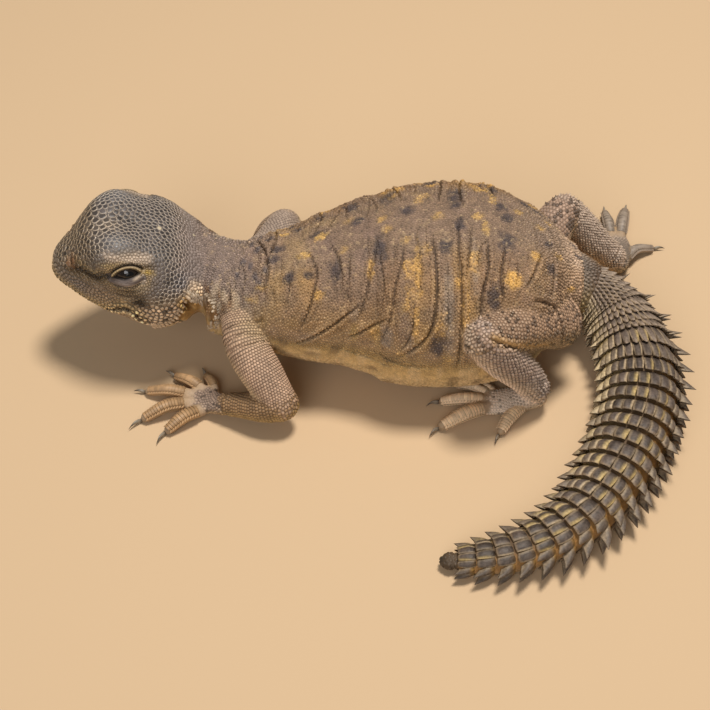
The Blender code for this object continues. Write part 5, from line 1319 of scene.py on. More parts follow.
def spacing_of(P, W, label):
    """Distance between scales wanted at each point of the skin; 9 means none."""
    d, l, u = head_coords(P)
    m = np.abs(l)
    x, phi = body_coords(P)
    up = np.where(phi < -90, phi + 360, phi)
    f = 90 - np.abs(up - 90)
    trunk = np.full(len(P), 0.425)
    trunk = np.where(f < -5, 0.425 + 0.30 * smoothstep(-5, -30, f), trunk)
    trunk = np.where(up > 112, 0.50, trunk)
    trunk = trunk + 0.06 * smoothstep(27, 33, x) - 0.05 * (1 - smoothstep(-20, -12, x))
    head = np.full(len(P), 0.60)
    snout = smoothstep(4.0, 6.5, u) * (1 - smoothstep(7.0, 10.0, d))
    fore = bump(d - 7.0, 4.2) * bump(l, 4.0) * smoothstep(7, 8.5, u)
    head += 0.50 * np.maximum(snout * 0.40, fore) * (1 + 0.35 * vnoise(P, 1.6, 91))
    head -= 0.12 * bump(d - 9.8, 2.4) * bump(m - 5.2, 1.9) * smoothstep(9.0, 10.5, u)
    head += 0.12 * bump(d - 16.5, 3.2) * bump(l, 3.6) * smoothstep(6, 8, u)
    head -= 0.10 * smoothstep(19, 22.5, d)
    head = np.where((u < 3.4) & (d < 11), 0.50, head)
    head += 0.06 * bump(d - 15.8, 3.4) * smoothstep(8, 9.5, m) * bump(u - 0.5, 3.6)
    head += 0.14 * smoothstep(-2.2, -4.2, u)
    for sgn in (1, -1):
        a, b, r, front = eye_measures(P, sgn)
        at, along, above, out = EYES[sgn]
        Q = P - at
        q = np.hypot(Q @ along / 1.25, Q @ above)
        head = np.where(front & (q < 5.2), np.minimum(head, 0.34 + 0.26 * smoothstep(2.4, 5.0, q)), head)
    out = W[:, 0] * head + W[:, 1] * trunk + W[:, 2] * 0.54 + W[:, 3] * 0.52 + W[:, 4] * 0.42 + W[:, 5] * 0.44 + W[:, 6] * 0.58
    none = np.zeros(len(P), bool)
    for sgn in (1, -1):
        sd, up_e, low_e, a, b, r, front = eye_part(P, sgn)
        lids = front & (r < 4.4) & ((sd < 0.42) | ((up_e >= low_e) & (b > -1.62 + 0.10 * (a - 0.2) ** 2 - 0.05) & (np.abs(a) < 2.6) & (b < 1.0)))
        none |= lids | (front & (r < 2.9))
        dark_line = (C_SKIN.mean(1) < 0.052) & (np.linalg.norm(P - EYES[sgn][0], axis=1) < 6.0) & (W[:, 0] > 0.5)
        none |= np.linalg.norm((P - head_point(2.95, sgn * 3.7, 6.05)), axis=1) < 0.42
        e = P - head_point(20.9, sgn * 9.8, 1.6)
        long_ax = unit(HU * 0.86 + HF * 0.50)
        wide_ax = unit(HF - long_ax * (HF @ long_ax))
        none |= (np.sqrt((e @ long_ax / 2.1) ** 2 + (e @ wide_ax / 0.75) ** 2) < 0.95) & (np.linalg.norm(e, axis=1) < 4)
    mu = np.interp(d, ML[:, 0], ML[:, 1])
    none |= (W[:, 0] + W[:, 1] > 0.5) & (amber(d, l, u) > 0.55)
    none |= (W[:, 1] > 0.6) & (DEPTH < -0.20)
    none |= (W[:, 0] < 0.5) & (W[:, 1] < 0.6) & (DEPTH < -0.16)
    none |= FOLD_D < 0.26
    none |= (W[:, 5] > 0.55) | (P[:, 2] < 0.10)
    on = np.where(W[:, 6] > 0.4)[0]
    best = np.empty(len(on))
    for i in range(0, len(on), 20000):
        best[i:i + 20000] = ((P[on[i:i + 20000], None] - TAIL_FINE[None]) ** 2).sum(2).argmin(1) * 0.25
    none[on] |= (best > TAIL_START + 0.3) & (best < float(whorl_start(WHORLS - 1)) + 0.1)
    return np.where(none, 9.0, out)

TAIL_FINE = tail_at(np.arange(0, TAIL_LONG + 1.5, 0.25))[0]
SPACE = spacing_of(P, W, LABEL)
tick("spacing")

# rows of scales along the limbs
def limb_rows(name, pitch, share=1.0):
    tube = TUBES[name]
    rows = int(tube.long / (pitch * 0.88)) + 3
    out, kind = [], []
    for i in range(-1, rows):
        s = i * pitch * 0.88
        C, T, side, up, a, b = [v[0] for v in tube.at(np.array([s]))]
        n = max(8, int(round(math.pi * (1.5 * (a + b) - math.sqrt(a * b)) / pitch)))
        ph = (np.arange(n) + 0.5 * (i % 2)) * 2 * math.pi / n
        out.append(tube.points(np.full(n, s), ph, 1.0))
    return np.vstack(out)

LIMB_PITCH = {"upper_arm_left": .48, "forearm_left": .50, "hand_left": .46, "upper_arm_right": .58, "forearm_right": .56, "hand_right": .48,
              "thigh_left": .60, "shin_left": .60, "foot_left": .50, "thigh_right": .64, "shin_right": .50, "foot_right": .46}
R0, S0 = [], []
for name, pitch in LIMB_PITCH.items():
    Q = limb_rows(name, pitch)
    loc, nn, near, dist = onto_skin(Q)
    ok = (dist < 0.75) & (LABEL[near] == SOURCES.index(name)) & (SPACE[near] < 5)
    R0.append(loc[ok]); S0.append(np.full(ok.sum(), pitch * 0.80))
LATTICE = sum(len(r) for r in R0)
# scattered roots for everything else
rng = np.random.RandomState(11)
tri = P[FACES]
areas = 0.5 * np.linalg.norm(np.cross(tri[:, 1] - tri[:, 0], tri[:, 2] - tri[:, 0]), axis=1)
sp = SPACE[FACES]
ok = (sp < 5).all(1)
want = np.where(ok, areas / (0.866 * sp.mean(1) ** 2), 0)
cum = np.cumsum(want)
total = int(cum[-1] * 4.0)
pick = np.searchsorted(cum, rng.rand(total) * cum[-1])
w1, w2 = rng.rand(total, 1), rng.rand(total, 1)
flip = (w1 + w2) > 1
w1, w2 = np.where(flip, 1 - w1, w1), np.where(flip, 1 - w2, w2)
cand = tri[pick, 0] * (1 - w1 - w2) + tri[pick, 1] * w1 + tri[pick, 2] * w2
R0.append(cand); S0.append(sp[pick].mean(1) * 0.80)
ALL, GAP = np.vstack(R0), np.concatenate(S0)
kd = tree_of(ALL)
gone = np.zeros(len(ALL), bool)
keep = []
for i, (q, r) in enumerate(zip(ALL.tolist(), GAP.tolist())):
    if gone[i]:
        continue
    keep.append(i)
    for _, j, _ in kd.find_range(q, r):
        gone[j] = True
keep = np.array(keep)
R = ALL[keep]
fixed = keep < LATTICE
tick("%d roots, %d on the limbs" % (len(R), fixed.sum()))

def neighbours(R, count):
    kd = tree_of(R)
    out = np.empty((len(R), count), int)
    for i, q in enumerate(R.tolist()):
        found = kd.find_n(q, count + 1)
        out[i] = [f[1] for f in found[1:]]
    return out

for turn in range(2):
    NB = neighbours(R, 6)
    D = R[:, None] - R[NB]
    L = np.linalg.norm(D, axis=2) + 1e-6
    aim = L.mean(1, keepdims=True) * 1.08
    step = (D / L[..., None] * np.clip(aim - L, 0, None)[..., None]).sum(1) * 0.32
    R = R + np.where(fixed[:, None], 0, step)
    R, RN, RV, _ = onto_skin(R)
ok = SPACE[RV] < 5
R, RN, RV, fixed = R[ok], RN[ok], RV[ok], fixed[ok]
RW, RL, RC, RS = W[RV], LABEL[RV], C_SKIN[RV], SPACE[RV]
NB = neighbours(R, 9)
tick("relaxed: %d roots" % len(R))

# which way each scale lies
LIE = np.zeros_like(R)
LIE += RW[:, 0:1] * -HF
bx = unit(np.column_stack([np.full(len(R), 1.0), np.gradient(np.interp(np.linspace(-28, 35, 64), BODY_LINE[:, 0], BODY_LINE[:, 1]))[np.clip((R[:, 0] + 28).astype(int), 0, 63)], np.zeros(len(R))]))
LIE += RW[:, 1:2] * bx
LIE += RW[:, 6:7] * tail_at(np.array([1.0]))[1]
limb = np.where(RW[:, 2:6].sum(1) > 0.02)[0]
lab = LIMB_LABEL(R[limb], RL[limb])
LIMB_S = np.zeros(len(R)); LIMB_A = np.zeros(len(R)); LIMB_N = np.full(len(R), -1)
for i in np.unique(lab):
    tube = TUBES[SOURCES[i]]
    on = limb[lab == i]
    s, ang, k = tube.coords(R[on])
    T = tube.at(s)[1]
    LIE[on] += T * RW[on, 2:6].sum(1)[:, None]
    LIMB_S[on], LIMB_A[on], LIMB_N[on] = s, ang, i
LIE = unit(LIE - RN * (LIE * RN).sum(1)[:, None] + 1e-9)

def cell_radii(idx, K, limit=0.62, gap=0.94, square=4.0):
    """Radius of the cell round each root in K directions, the first along the lie."""
    D = R[NB[idx]] - R[idx][:, None]
    B = np.cross(RN[idx], LIE[idx])
    qx, qy = (D * LIE[idx][:, None]).sum(2), (D * B[:, None]).sum(2)
    th = np.arange(K) * 2 * math.pi / K
    dot = qx[..., None] * np.cos(th) + qy[..., None] * np.sin(th)
    half = (qx ** 2 + qy ** 2)[..., None] / (2 * np.maximum(dot, 1e-4))
    half = np.where(dot > 1e-4, half, 9.0).min(1)
    cap = limit * RS[idx][:, None] * 1.30
    half = (half ** -square + cap ** -square) ** (-1 / square)
    return half * gap

def build_scales(idx, K, layers, centre, colours, centre_colour, **kw):
    """layers: list of (share of the cell, height in mm, shift along the lie); each height may be one for each root and direction."""
    n = len(idx)
    rad = cell_radii(idx, K, **kw)
    T, B, NN = LIE[idx], np.cross(RN[idx], LIE[idx]), RN[idx]
    th = np.arange(K) * 2 * math.pi / K
    dirs = np.cos(th)[None, :, None] * T[:, None] + np.sin(th)[None, :, None] * B[:, None]
    m = len(layers)
    X = np.empty((n, 1 + K * m, 3)); C = np.empty((n, 1 + K * m, 3)); U = np.empty((n, 1 + K * m, 2))
    ch, cs = centre
    X[:, 0] = R[idx] + NN * np.reshape(ch, (-1, 1)) + T * np.reshape(cs, (-1, 1))
    C[:, 0] = centre_colour
    uv0 = root_uv(idx)
    U[:, 0] = uv0
    for k, ((share, h, shift), colour) in enumerate(zip(layers, colours)):
        sl = slice(1 + K * k, 1 + K * (k + 1))
        h = np.broadcast_to(np.asarray(h, float).reshape(-1, K) if np.ndim(h) == 2 else np.reshape(np.asarray(h, float), (-1, 1)), (n, K))
        X[:, sl] = R[idx][:, None] + dirs * (rad * share)[..., None] + NN[:, None] * h[..., None] + T[:, None] * np.broadcast_to(np.reshape(np.asarray(shift, float), (-1, 1)), (n, K))[..., None]
        C[:, sl] = colour[:, None] if np.ndim(colour) == 2 else colour
        U[:, sl] = uv0[:, None] + 0.0015 * share * np.column_stack([np.cos(th), np.sin(th)])[None]
    j = np.arange(K); jj = (j + 1) % K
    tri1 = np.column_stack([np.zeros(K, int), 1 + j, 1 + jj])
    q1 = np.vstack([np.column_stack([1 + K * k + j, 1 + K * (k + 1) + j, 1 + K * (k + 1) + jj, 1 + K * k + jj]) for k in range(m - 1)]) if m > 1 else np.zeros((0, 4), int)
    off = (np.arange(n) * (1 + K * m))[:, None, None]
    return X.reshape(-1, 3), (q1[None] + off).reshape(-1, 4), (tri1[None] + off).reshape(-1, 3), C.reshape(-1, 3), U.reshape(-1, 2)

def root_uv(idx):
    """Place of each root on an unwrap of the skin: every part of the animal has its own tile."""
    q = R[idx]
    w = RW[idx].argmax(1)
    x, phi = body_coords(q)
    d, l, u = head_coords(q)
    s = np.column_stack([(x + 28) / 64, (phi + 180) / 360])
    hd = np.column_stack([np.clip((d + 1) / 26, 0, 1), (np.degrees(np.arctan2(u - HEAD_MID, l)) + 180) / 360])
    s = np.where((w == 0)[:, None], hd, s)
    on = LIMB_N[idx] >= 0
    long = np.array([TUBES[SOURCES[i]].long if i >= 0 and SOURCES[i] in TUBES else 1 for i in LIMB_N[idx]])
    lm = np.column_stack([np.clip(LIMB_S[idx] / long, -0.2, 1.2) / 1.4 + 0.2 / 1.4, (LIMB_A[idx] + math.pi) / (2 * math.pi)])
    tile = np.column_stack([(LIMB_N[idx] % 4) / 4, (LIMB_N[idx] // 4 % 4) / 4])
    s = np.where((on & (w >= 2) & (w <= 5))[:, None], tile + lm / 4.2, s)
    return 0.01 + 0.98 * np.clip(s, 0, 1)

rand1, rand2 = hash01(np.arange(len(R)), 3), hash01(np.arange(len(R)), 4)
KIND = RW.argmax(1)
hd_d, hd_l, hd_u = head_coords(R)
HEAD_ROOTS = np.where((KIND == 0))[0]
is_limb = (KIND >= 2) & (KIND <= 5)
LIMB_ROOTS = np.where(is_limb)[0]
TRUNK_ROOTS = np.where((KIND == 1) | (KIND == 6))[0]

# trunk: small domed granules
def granules(idx):
    x, phi = body_coords(R[idx])
    f = 90 - np.abs(np.where(phi < -90, phi + 360, phi) - 90)
    s = RS[idx]
    crest = smoothstep(0.02, 0.14, DEPTH[RV[idx]]) - 0.9 * smoothstep(-0.05, -0.22, DEPTH[RV[idx]])
    h = s * (0.24 + 0.10 * rand1[idx]) * (1 + 0.35 * crest)
    neckish = 1 - smoothstep(-19, -12, x)
    rump = smoothstep(26, 33, x)
    h = h * (1 + 0.35 * neckish + 0.45 * rump)
    top = RC[idx] * (1.0 + 0.36 * rand2[idx])[:, None]
    pale = smoothstep(0.74, 0.96, rand1[idx]) * smoothstep(-5, 10, f)
    top = over(top, top * 1.50 + 0.03, pale * (0.45 + 0.3 * neckish))
    top = over(top, top * 0.60, (rand1[idx] < 0.14) * smoothstep(-5, 10, f))
    # granules in the crease valleys are darker: painted shade
    top = over(top, RC[idx] * 0.75, smoothstep(-0.04, -0.16, DEPTH[RV[idx]]))
    soft = 1 - smoothstep(-12, -2, f)
    top = over(top, RC[idx] * 1.10, soft * 0.6)
    h = h * (1 - 0.45 * soft)
    rim = RC[idx] * (0.42 + 0.40 * soft)[:, None]
    K = 5
    th = np.arange(K) * 2 * math.pi / K
    tilt = (0.10 + 0.30 * rump)[:, None] * np.cos(th)[None]
    return build_scales(idx, K, [(0.62, (h * 0.84)[:, None] * (1 + tilt), 0.03 * s), (1.0, -0.04 + 0.06 * rump[:, None] * (1 + np.cos(th))[None] * 0.6, 0.0)],
                        (h, 0.05 * s + 0.10 * s * rump), [top * 0.90, rim], top * 1.05)

order = TRUNK_ROOTS[np.argsort(body_coords(R[TRUNK_ROOTS])[0], kind="stable")]
parts = int(math.ceil(len(order) * 15 / 195000))
for i, idx in enumerate(np.array_split(order, parts)):
    PV, q, t, C, U = granules(idx)
    piece("trunk_scales_%d" % (i + 1), PV, q, t, C, MAT_SCALE, U)

# head: flat dark plates with pale seams on the crown, pale domes with dark gaps on the jowl
def head_plates(idx):
    d, l, u = hd_d[idx], hd_l[idx], hd_u[idx]
    m = np.abs(l)
    jowl = smoothstep(5.2, 3.4, u + 0.25 * (m - 9)) * smoothstep(10.5, 13.0, d) * smoothstep(5.5, 7.5, m)
    cheek = smoothstep(4.8, 3.4, u) * (1 - smoothstep(10, 13, d))
    under = smoothstep(-2.4, -4.0, u)
    nape = smoothstep(19.5, 22.5, d) * (1 - jowl)
    near_eye = np.zeros(len(idx))
    for sgn in (1, -1):
        at, along, above, out = EYES[sgn]
        Q = R[idx] - at
        near_eye = np.maximum(near_eye, (1 - smoothstep(3.0, 5.2, np.hypot(Q @ along / 1.3, Q @ above))) * (Q @ out > 0))
    s = RS[idx]
    base = RC[idx]
    lum = base.mean(1)
    fill = base * (0.38 + 0.34 * rand2[idx])[:, None]
    fill = np.where((rand1[idx] > 0.93)[:, None], base * 1.1, fill)
    plain = smoothstep(0.035, 0.075, lum)
    seam = base * (1.1 + 1.45 * plain)[:, None]
    seam = over(seam, col(.520, .430, .310), 0.46 * plain * (1 - 0.5 * smoothstep(18, 22, d)))
    # brow plates kept lighter and bluer: painted highlight
    brow = bump(d - 10.6, 2.6) * bump(m - 5.6, 2.2) * smoothstep(9.6, 10.8, u)
    fill = over(fill, base * 1.0 + col(.0, .006, .014), 0.55 * brow)
    dome = np.clip(np.maximum.reduce([jowl, cheek * 0.75, nape * 0.5, near_eye * 0.9]), 0, 1)
    top_j = base * ((1.45 + 0.85 * rand2[idx] - 0.25 * near_eye - 0.5 * near_eye * rand2[idx]) * (1 + 0.62 * jowl + 0.26 * cheek * (1 - near_eye)))[:, None]
    top_j = over(top_j, base * 0.5, (rand1[idx] < 0.12) * jowl)
    top_j = over(top_j, base * 0.9, 1 - plain)
    fill = fill * (1 - dome[:, None]) + top_j * dome[:, None]
    seam_j = base * (0.22 + 0.34 * near_eye)[:, None]
    seam = seam * (1 - dome[:, None]) + seam_j * dome[:, None]
    fill = fill * (1 - under[:, None]) + (base * (1.0 + 0.3 * rand2[idx])[:, None]) * under[:, None]
    seam = seam * (1 - under[:, None]) + base * 0.62 * under[:, None]
    line = even([(a, c) for a, b, c in STRIPE], 24)
    onto = bump(curve_dist(np.column_stack([d, u]), line), 0.62) * smoothstep(3.0, 4.2, m) * (d < 9.6)
    onto = np.maximum(onto, bump(np.hypot(d - 13.3, (u - 3.84) * .9), .95) * (m > 7))
    fill, seam = over(fill, col(.024, .015, .008), onto * 0.95), over(seam, col(.040, .024, .012), onto * 0.90)
    cream = 1 - smoothstep(5.0, 7.5, d)
    seam = over(seam, seam * col(.74, .68, .60), cream * smoothstep(2.5, 5.0, u))
    md = curve_dist(np.column_stack([d, u]), mouth_curve[mouth_curve[:, 0] < 14.3])
    open_m = (m > 1.2 * smoothstep(2.5, 6, d)) * (1 - smoothstep(13.6, 14.8, d))
    lips = bump(md - 0.70, 0.40) * open_m * smoothstep(5, 8, d)
    fill, seam = over(fill, fill * 1.45 + col(.03, .022, .01), lips * 0.8), over(seam, seam * 0.8, lips)
    # painted shade in the mouth slit
    slit_shade = smoothstep(0.52, 0.30, md) * open_m
    fill, seam = over(fill, col(.034, .019, .009), slit_shade * 0.95), over(seam, col(.030, .017, .008), slit_shade * 0.95)
    for sgn in (1, -1):
        at, along, above, out = EYES[sgn]
        Q = R[idx] - at
        a2, b2, close = Q @ along, Q @ above, (Q @ out > 0) & (np.linalg.norm(Q, axis=1) < 6.5)
        for drop, half, dark in ((0.40, 0.36, .92), (1.34, 0.38, .85)):
            line = -1.95 - drop + 0.09 * (a2 - 0.2) ** 2 * (1 - 0.2 * drop)
            w = bump(b2 - line, half) * bump(a2 + 0.2, 2.7) * dark * close
            fill, seam = over(fill, col(.040, .026, .014), w), over(seam, col(.036, .022, .012), w)
            w = bump(b2 - line + 0.48, 0.30) * bump(a2 + 0.2, 2.6) * 0.5 * close
            fill = over(fill, col(.420, .310, .190), w)
    for sgn in (1, -1):
        nd = np.linalg.norm(R[idx] - head_point(2.95, sgn * 3.7, 6.05), axis=1)
        fill, seam = over(fill, col(.340, .160, .070), bump(nd, 0.78) * 0.8), over(seam, col(.220, .110, .050), bump(nd, 0.78) * 0.8)
        # painted shade in the nostril pit
        fill, seam = over(fill, col(.030, .012, .006), bump(nd, 0.50) * 0.98), over(seam, col(.030, .012, .006), bump(nd, 0.50) * 0.98)
    for sd, sl, su in ((16.55, 0.38, 10.2), (22.28, -0.87, 6.74)):
        if (sl >= 0) == (l.mean() >= 0):
            fill[np.linalg.norm(R[idx] - head_point(sd, sl, su), axis=1).argmin()] = (.520, .430, .290)
    h = np.minimum(s * (0.17 + 0.05 * rand1[idx] + 0.17 * dome), 0.17)
    ring = fill * (1 - 0.30 * dome[:, None])
    edge = seam * (1 - 0.25 * dome[:, None]) + fill * 0.25 * dome[:, None]
    return build_scales(idx, 9, [(0.48, h * (0.99 - 0.08 * dome), 0.0), (0.75, h * (0.90 - 0.28 * dome), 0.0), (0.83, h * (0.74 - 0.32 * dome), 0.0),
                                 (1.0, h * 0.18 * (1 - dome) - 0.02, 0.0)],
                        (h * 1.0, 0.0), [fill, ring, edge, seam], fill * 1.05, limit=0.66, gap=0.985, square=7.0)

left = HEAD_ROOTS[hd_l[HEAD_ROOTS] >= 0]
right = HEAD_ROOTS[hd_l[HEAD_ROOTS] < 0]
for name, idx in (("head_scales_left", left), ("head_scales_right", right)):
    PV, q, t, C, U = head_plates(idx)
    piece(name, PV, q, t, C, MAT_HEAD, U)

# teeth of the ear's edge and of the neck fold, beads on the lids
BV, BT, BC, BU = [], [], [], []
def bead(at, n, t, w, long, high, colour, dark, shift=0.35):
    """A small pointed or round scale: at its root, leaning along t."""
    K = 7
    b = unit(np.cross(n, t)); t = unit(t - n * (t @ n))
    th = np.arange(K) * 2 * math.pi / K
    rim = at + t * (np.cos(th) * long * 0.5)[:, None] + b * (np.sin(th) * w * 0.5)[:, None] - n * 0.06
    mid = at + t * (np.cos(th) * long * 0.34 + shift * long * 0.5)[:, None] + b * (np.sin(th) * w * 0.33)[:, None] + n * high * 0.7
    tip = at + t * long * shift + n * high
    base = sum(len(v) for v in BV)
    j = np.arange(K); jj = (j + 1) % K
    BV.append(np.vstack([tip, mid, rim]))
    BT.append(base + np.vstack([np.column_stack([np.zeros(K, int), 1 + j, 1 + jj]), np.column_stack([1 + j, 1 + K + j, 1 + jj]), np.column_stack([1 + jj, 1 + K + j, 1 + K + jj])]))
    BC.append(np.vstack([colour, np.tile(np.asarray(colour) * 0.92, (K, 1)), np.tile(dark, (K, 1))]))
    d, l, u = head_coords(at[None])
    root = 0.01 + 0.98 * np.clip(np.array([(d[0] + 1) / 26, (math.degrees(math.atan2(u[0] - HEAD_MID, l[0])) + 180) / 360]), 0, 1)
    spread = np.vstack([[0, 0], 0.0008 * np.column_stack([np.cos(th), np.sin(th)]), 0.0015 * np.column_stack([np.cos(th), np.sin(th)])])
    BU.append(root + spread)

def along_line(points, count):
    A = by_length(np.column_stack([points, np.zeros(len(points))]))
    return flow(A, np.linspace(0, A[-1, 0], count))[:, :3]

for sgn in (1, -1):
    # front edge of the ear
    line = along_line([head_point(20.7, sgn * 9.4, 4.3), head_point(20.1, sgn * 9.9, 2.9), head_point(19.3, sgn * 10.4, 1.5), head_point(18.2, sgn * 10.8, 0.3), head_point(16.8, sgn * 11.0, -0.9), head_point(15.4, sgn * 10.9, -2.0)], 15)
    loc, nn, near, dist = onto_skin(line)
    for i in range(len(line)):
        h = float(hash01(i + 40 * (sgn > 0), 15))
        lean = unit(-HF * 0.75 - HU * 0.75 + sgn * HL * 0.15)
        bead(loc[i] + nn[i] * 0.12, nn[i], lean, 0.46 + 0.2 * h, 0.80 + 0.45 * h, 0.34 + 0.10 * h, col(.660, .500, .340) * (0.85 + 0.3 * h), col(.300, .190, .095))
    for row, (off, tone) in enumerate(((0.55, .8), (1.0, .6))):
        for i in range(0, len(line)):
            h = float(hash01(i + 40 * (sgn > 0), 16 + row))
            at = loc[i] + HF * off * 0.7 + HU * off * 0.55
            q, n2, _, _ = onto_skin(at[None])
            bead(q[0] + n2[0] * 0.04, n2[0], unit(-HF * 0.6 - HU * 0.6), 0.50, 0.62, 0.20, col(.480, .370, .260) * (tone + 0.4 * h), col(.120, .075, .045))
    # pale scales that hang behind the ear, and the serrated edge of the fold behind them
    hang = along_line([head_point(20.7, sgn * 9.3, 4.7), head_point(21.4, sgn * 9.1, 3.9), head_point(22.2, sgn * 8.8, 3.2), head_point(22.9, sgn * 8.6, 2.4)], 8)
    edge = along_line([head_point(23.2, sgn * 9.0, 3.7), head_point(24.0, sgn * 10.2, 3.9), head_point(24.6, sgn * 11.4, 3.4), head_point(24.7, sgn * 12.1, 2.4), head_point(24.5, sgn * 12.1, 1.1), head_point(24.3, sgn * 11.4, -0.6), head_point(24.2, sgn * 10.8, -2.1)], 16)
    for which, line, rows, lean in ((0, hang, (0.0, 0.45, 0.9, 1.35), unit(-HU * 0.9 - HF * 0.25)), (1, edge, (0.0, 0.42, 0.84), unit(-HU * 0.6 + HF * 0.5))):
        for row, off in enumerate(rows):
            for i in range(len(line)):
                h, g = float(hash01(i + 40 * (sgn > 0), 18 + row)), float(hash01(i + 40 * (sgn > 0), 38 + row))
                at = line[i] + HU * (0.5 * g - 0.25) + (-HU * off if which == 0 else -HF * off) + HF * 0.3 * (h - 0.5)
                q, n2, _, gap = onto_skin(at[None])
                if gap[0] > 1.6:
                    continue
                if which == 0:
                    bead(q[0] + n2[0] * 0.06, n2[0], lean, 0.36 + 0.12 * h, 0.75 + 0.5 * g, 0.22 + 0.08 * h, col(.640, .520, .390) * (0.75 + 0.4 * h), col(.230, .155, .090))
                elif h > 0.15:
                    bead(q[0] + n2[0] * 0.06, n2[0], lean, 0.36 + 0.16 * h, 0.50 + 0.3 * g, 0.26 - 0.05 * row, col(.600, .480, .350) * (0.70 + 0.45 * h) * (1 - 0.14 * row), col(.220, .140, .075))
    # lids
    at, along, above, out = EYES[sgn]
    def lid(a, b, r):
        c = np.sqrt(np.maximum(1 - (a * a + b * b) / 3.3 ** 2, 0.05))
        return at + r * unit(along * a / 3.3 + above * b / 3.3 + out * c)
    for i, (a, b) in enumerate(even(LID_UP, 15)[1:-1]):
        p = lid(a, b + 0.16, 3.44)
        bead(p, unit(p - at), along, 0.20, 0.30, 0.055, col(.520, .380, .190) * (0.85 + 0.3 * float(hash01(i, 21))), col(.200, .130, .060), shift=0.0)
    for i in range(9):
        a = -2.25 + 0.30 * i
        b = -1.62 + 0.10 * (a - 0.2) ** 2 + 0.18 + 0.10 * (a < -1.9)
        p = lid(a, b, 3.06)
        q, n2, _, _ = onto_skin(p[None])
        bead(q[0] + n2[0] * 0.01, n2[0], along, 0.30, 0.28, 0.07, col(.560, .460, .350) * (0.85 + 0.3 * float(hash01(i, 22))), col(.240, .180, .130), shift=0.0)
piece("head_details", np.vstack(BV), np.zeros((0, 4), int), np.vstack(BT), np.vstack(BC), MAT_HEAD, np.vstack(BU))

# limbs: keeled scales that overlap towards the foot, spiny on thigh and shin
def limb_scales(idx):
    s = np.minimum(RS[idx], 0.60)
    names = [SOURCES[i] if i >= 0 else "" for i in LIMB_N[idx]]
    is_ = lambda *ns: np.array([n in ns for n in names])
    deg = np.degrees(LIMB_A[idx])
    thigh, shin = is_("thigh_left", "thigh_right"), is_("shin_left", "shin_right")
    arm = is_("upper_arm_left", "upper_arm_right", "forearm_left", "forearm_right")
    paw = is_("hand_left", "hand_right", "foot_left", "foot_right") | np.array([n.startswith("toe") for n in names])
    up = R[idx, 2]
    base = RC[idx]
    r1, r2 = rand1[idx], rand2[idx]
    spiny = np.where(thigh, (r1 > 0.74) * 1.0, np.where(shin, (r1 > 0.55) * 1.0, 0.0)) * (RN[idx, 2] > -0.4)
    h = np.where(arm, 0.26 * s, np.where(paw, 0.22 * s, 0.25 * s))
    h = h + spiny * np.where(shin, 0.34, 0.26) * (0.7 + 0.6 * r2)
    lift = np.where(arm, 0.075, np.where(paw, 0.035, 0.065)) + 0.02 * r2
    K = 8
    th = np.arange(K) * 2 * math.pi / K
    back = np.clip(np.cos(th), 0, 1)[None]
    top = base * np.where(thigh, 1.18 + 0.30 * r2, 1.22 + 0.55 * r2)[:, None]
    # lighter scale edges on the far thigh and shin: painted light
    rim = base * np.where(is_("shin_right", "thigh_right"), 0.62, np.where(is_("upper_arm_left") & (LIMB_S[idx] < 5), 0.45, np.where(thigh, 0.60, np.where(shin, 0.56, 0.34))))[:, None]
    dark_tip = thigh * spiny
    pale_tip = shin * spiny
    top = top / np.maximum(top.max(1) / 0.78, 1)[:, None]
    tip = top * 1.12
    tip = over(tip, base * 0.22, dark_tip * 0.85)
    top = over(top, base * 0.32, dark_tip * 0.85)
    rim = over(rim, base * 0.75, dark_tip * 0.8)
    tip = over(tip, col(.560, .450, .330), pale_tip * 0.85)
    knee = is_("thigh_left") * smoothstep(11.5, 14.5, LIMB_S[idx])
    tip = over(tip, col(.560, .450, .330), knee * (r2 > 0.5))
    dark = (hash01(np.arange(len(R)), 8)[idx] > 0.90) & (is_("foot_left", "foot_right", "hand_left", "hand_right"))
    top = np.where(dark[:, None], base * 0.5, top); tip = np.where(dark[:, None], base * 0.45, tip)
    net = is_("foot_left", "foot_right") * bump(LIMB_S[idx] - 2.5, 2.6)
    top = over(top, base * 0.30, net * 0.75); tip = over(tip, base * 0.26, net * 0.75); rim = over(rim, base * 1.15, net * 0.9)
    ring1 = h[:, None] * (0.74 + 0.20 * np.cos(th)[None]) * (1 - 0.45 * spiny[:, None])
    ring2 = -0.045 + (lift[:, None] + 0.045) * back
    return build_scales(idx, K, [(0.58, ring1, 0.06 * s), (0.90, np.where(back > 0.3, ring1 * 0.42 + lift[:, None] * 0.6, 0.25 * h[:, None]), 0.07 * s), (1.03, ring2 - 0.02, 0.02 * s)],
                        (h, (0.20 + 0.25 * spiny) * s), [top, over(top * 0.62, rim, net * 0.6), rim], tip, gap=0.98, square=5.0)

groups = {"near": LIMB_ROOTS[np.array([i >= 0 and SOURCES[i].startswith(("upper_arm_left", "forearm_left", "hand_left", "toe_hand_left", "thigh_left", "shin_left", "foot_left", "toe_foot_left")) for i in LIMB_N[LIMB_ROOTS]])]}
groups["far"] = np.setdiff1d(LIMB_ROOTS, groups["near"])
for name, idx in groups.items():
    PV, q, t, C, U = limb_scales(idx)
    piece("limb_scales_" + name, PV, q, t, C, MAT_SCALE, U)
tick("granules, head plates and limb scales")

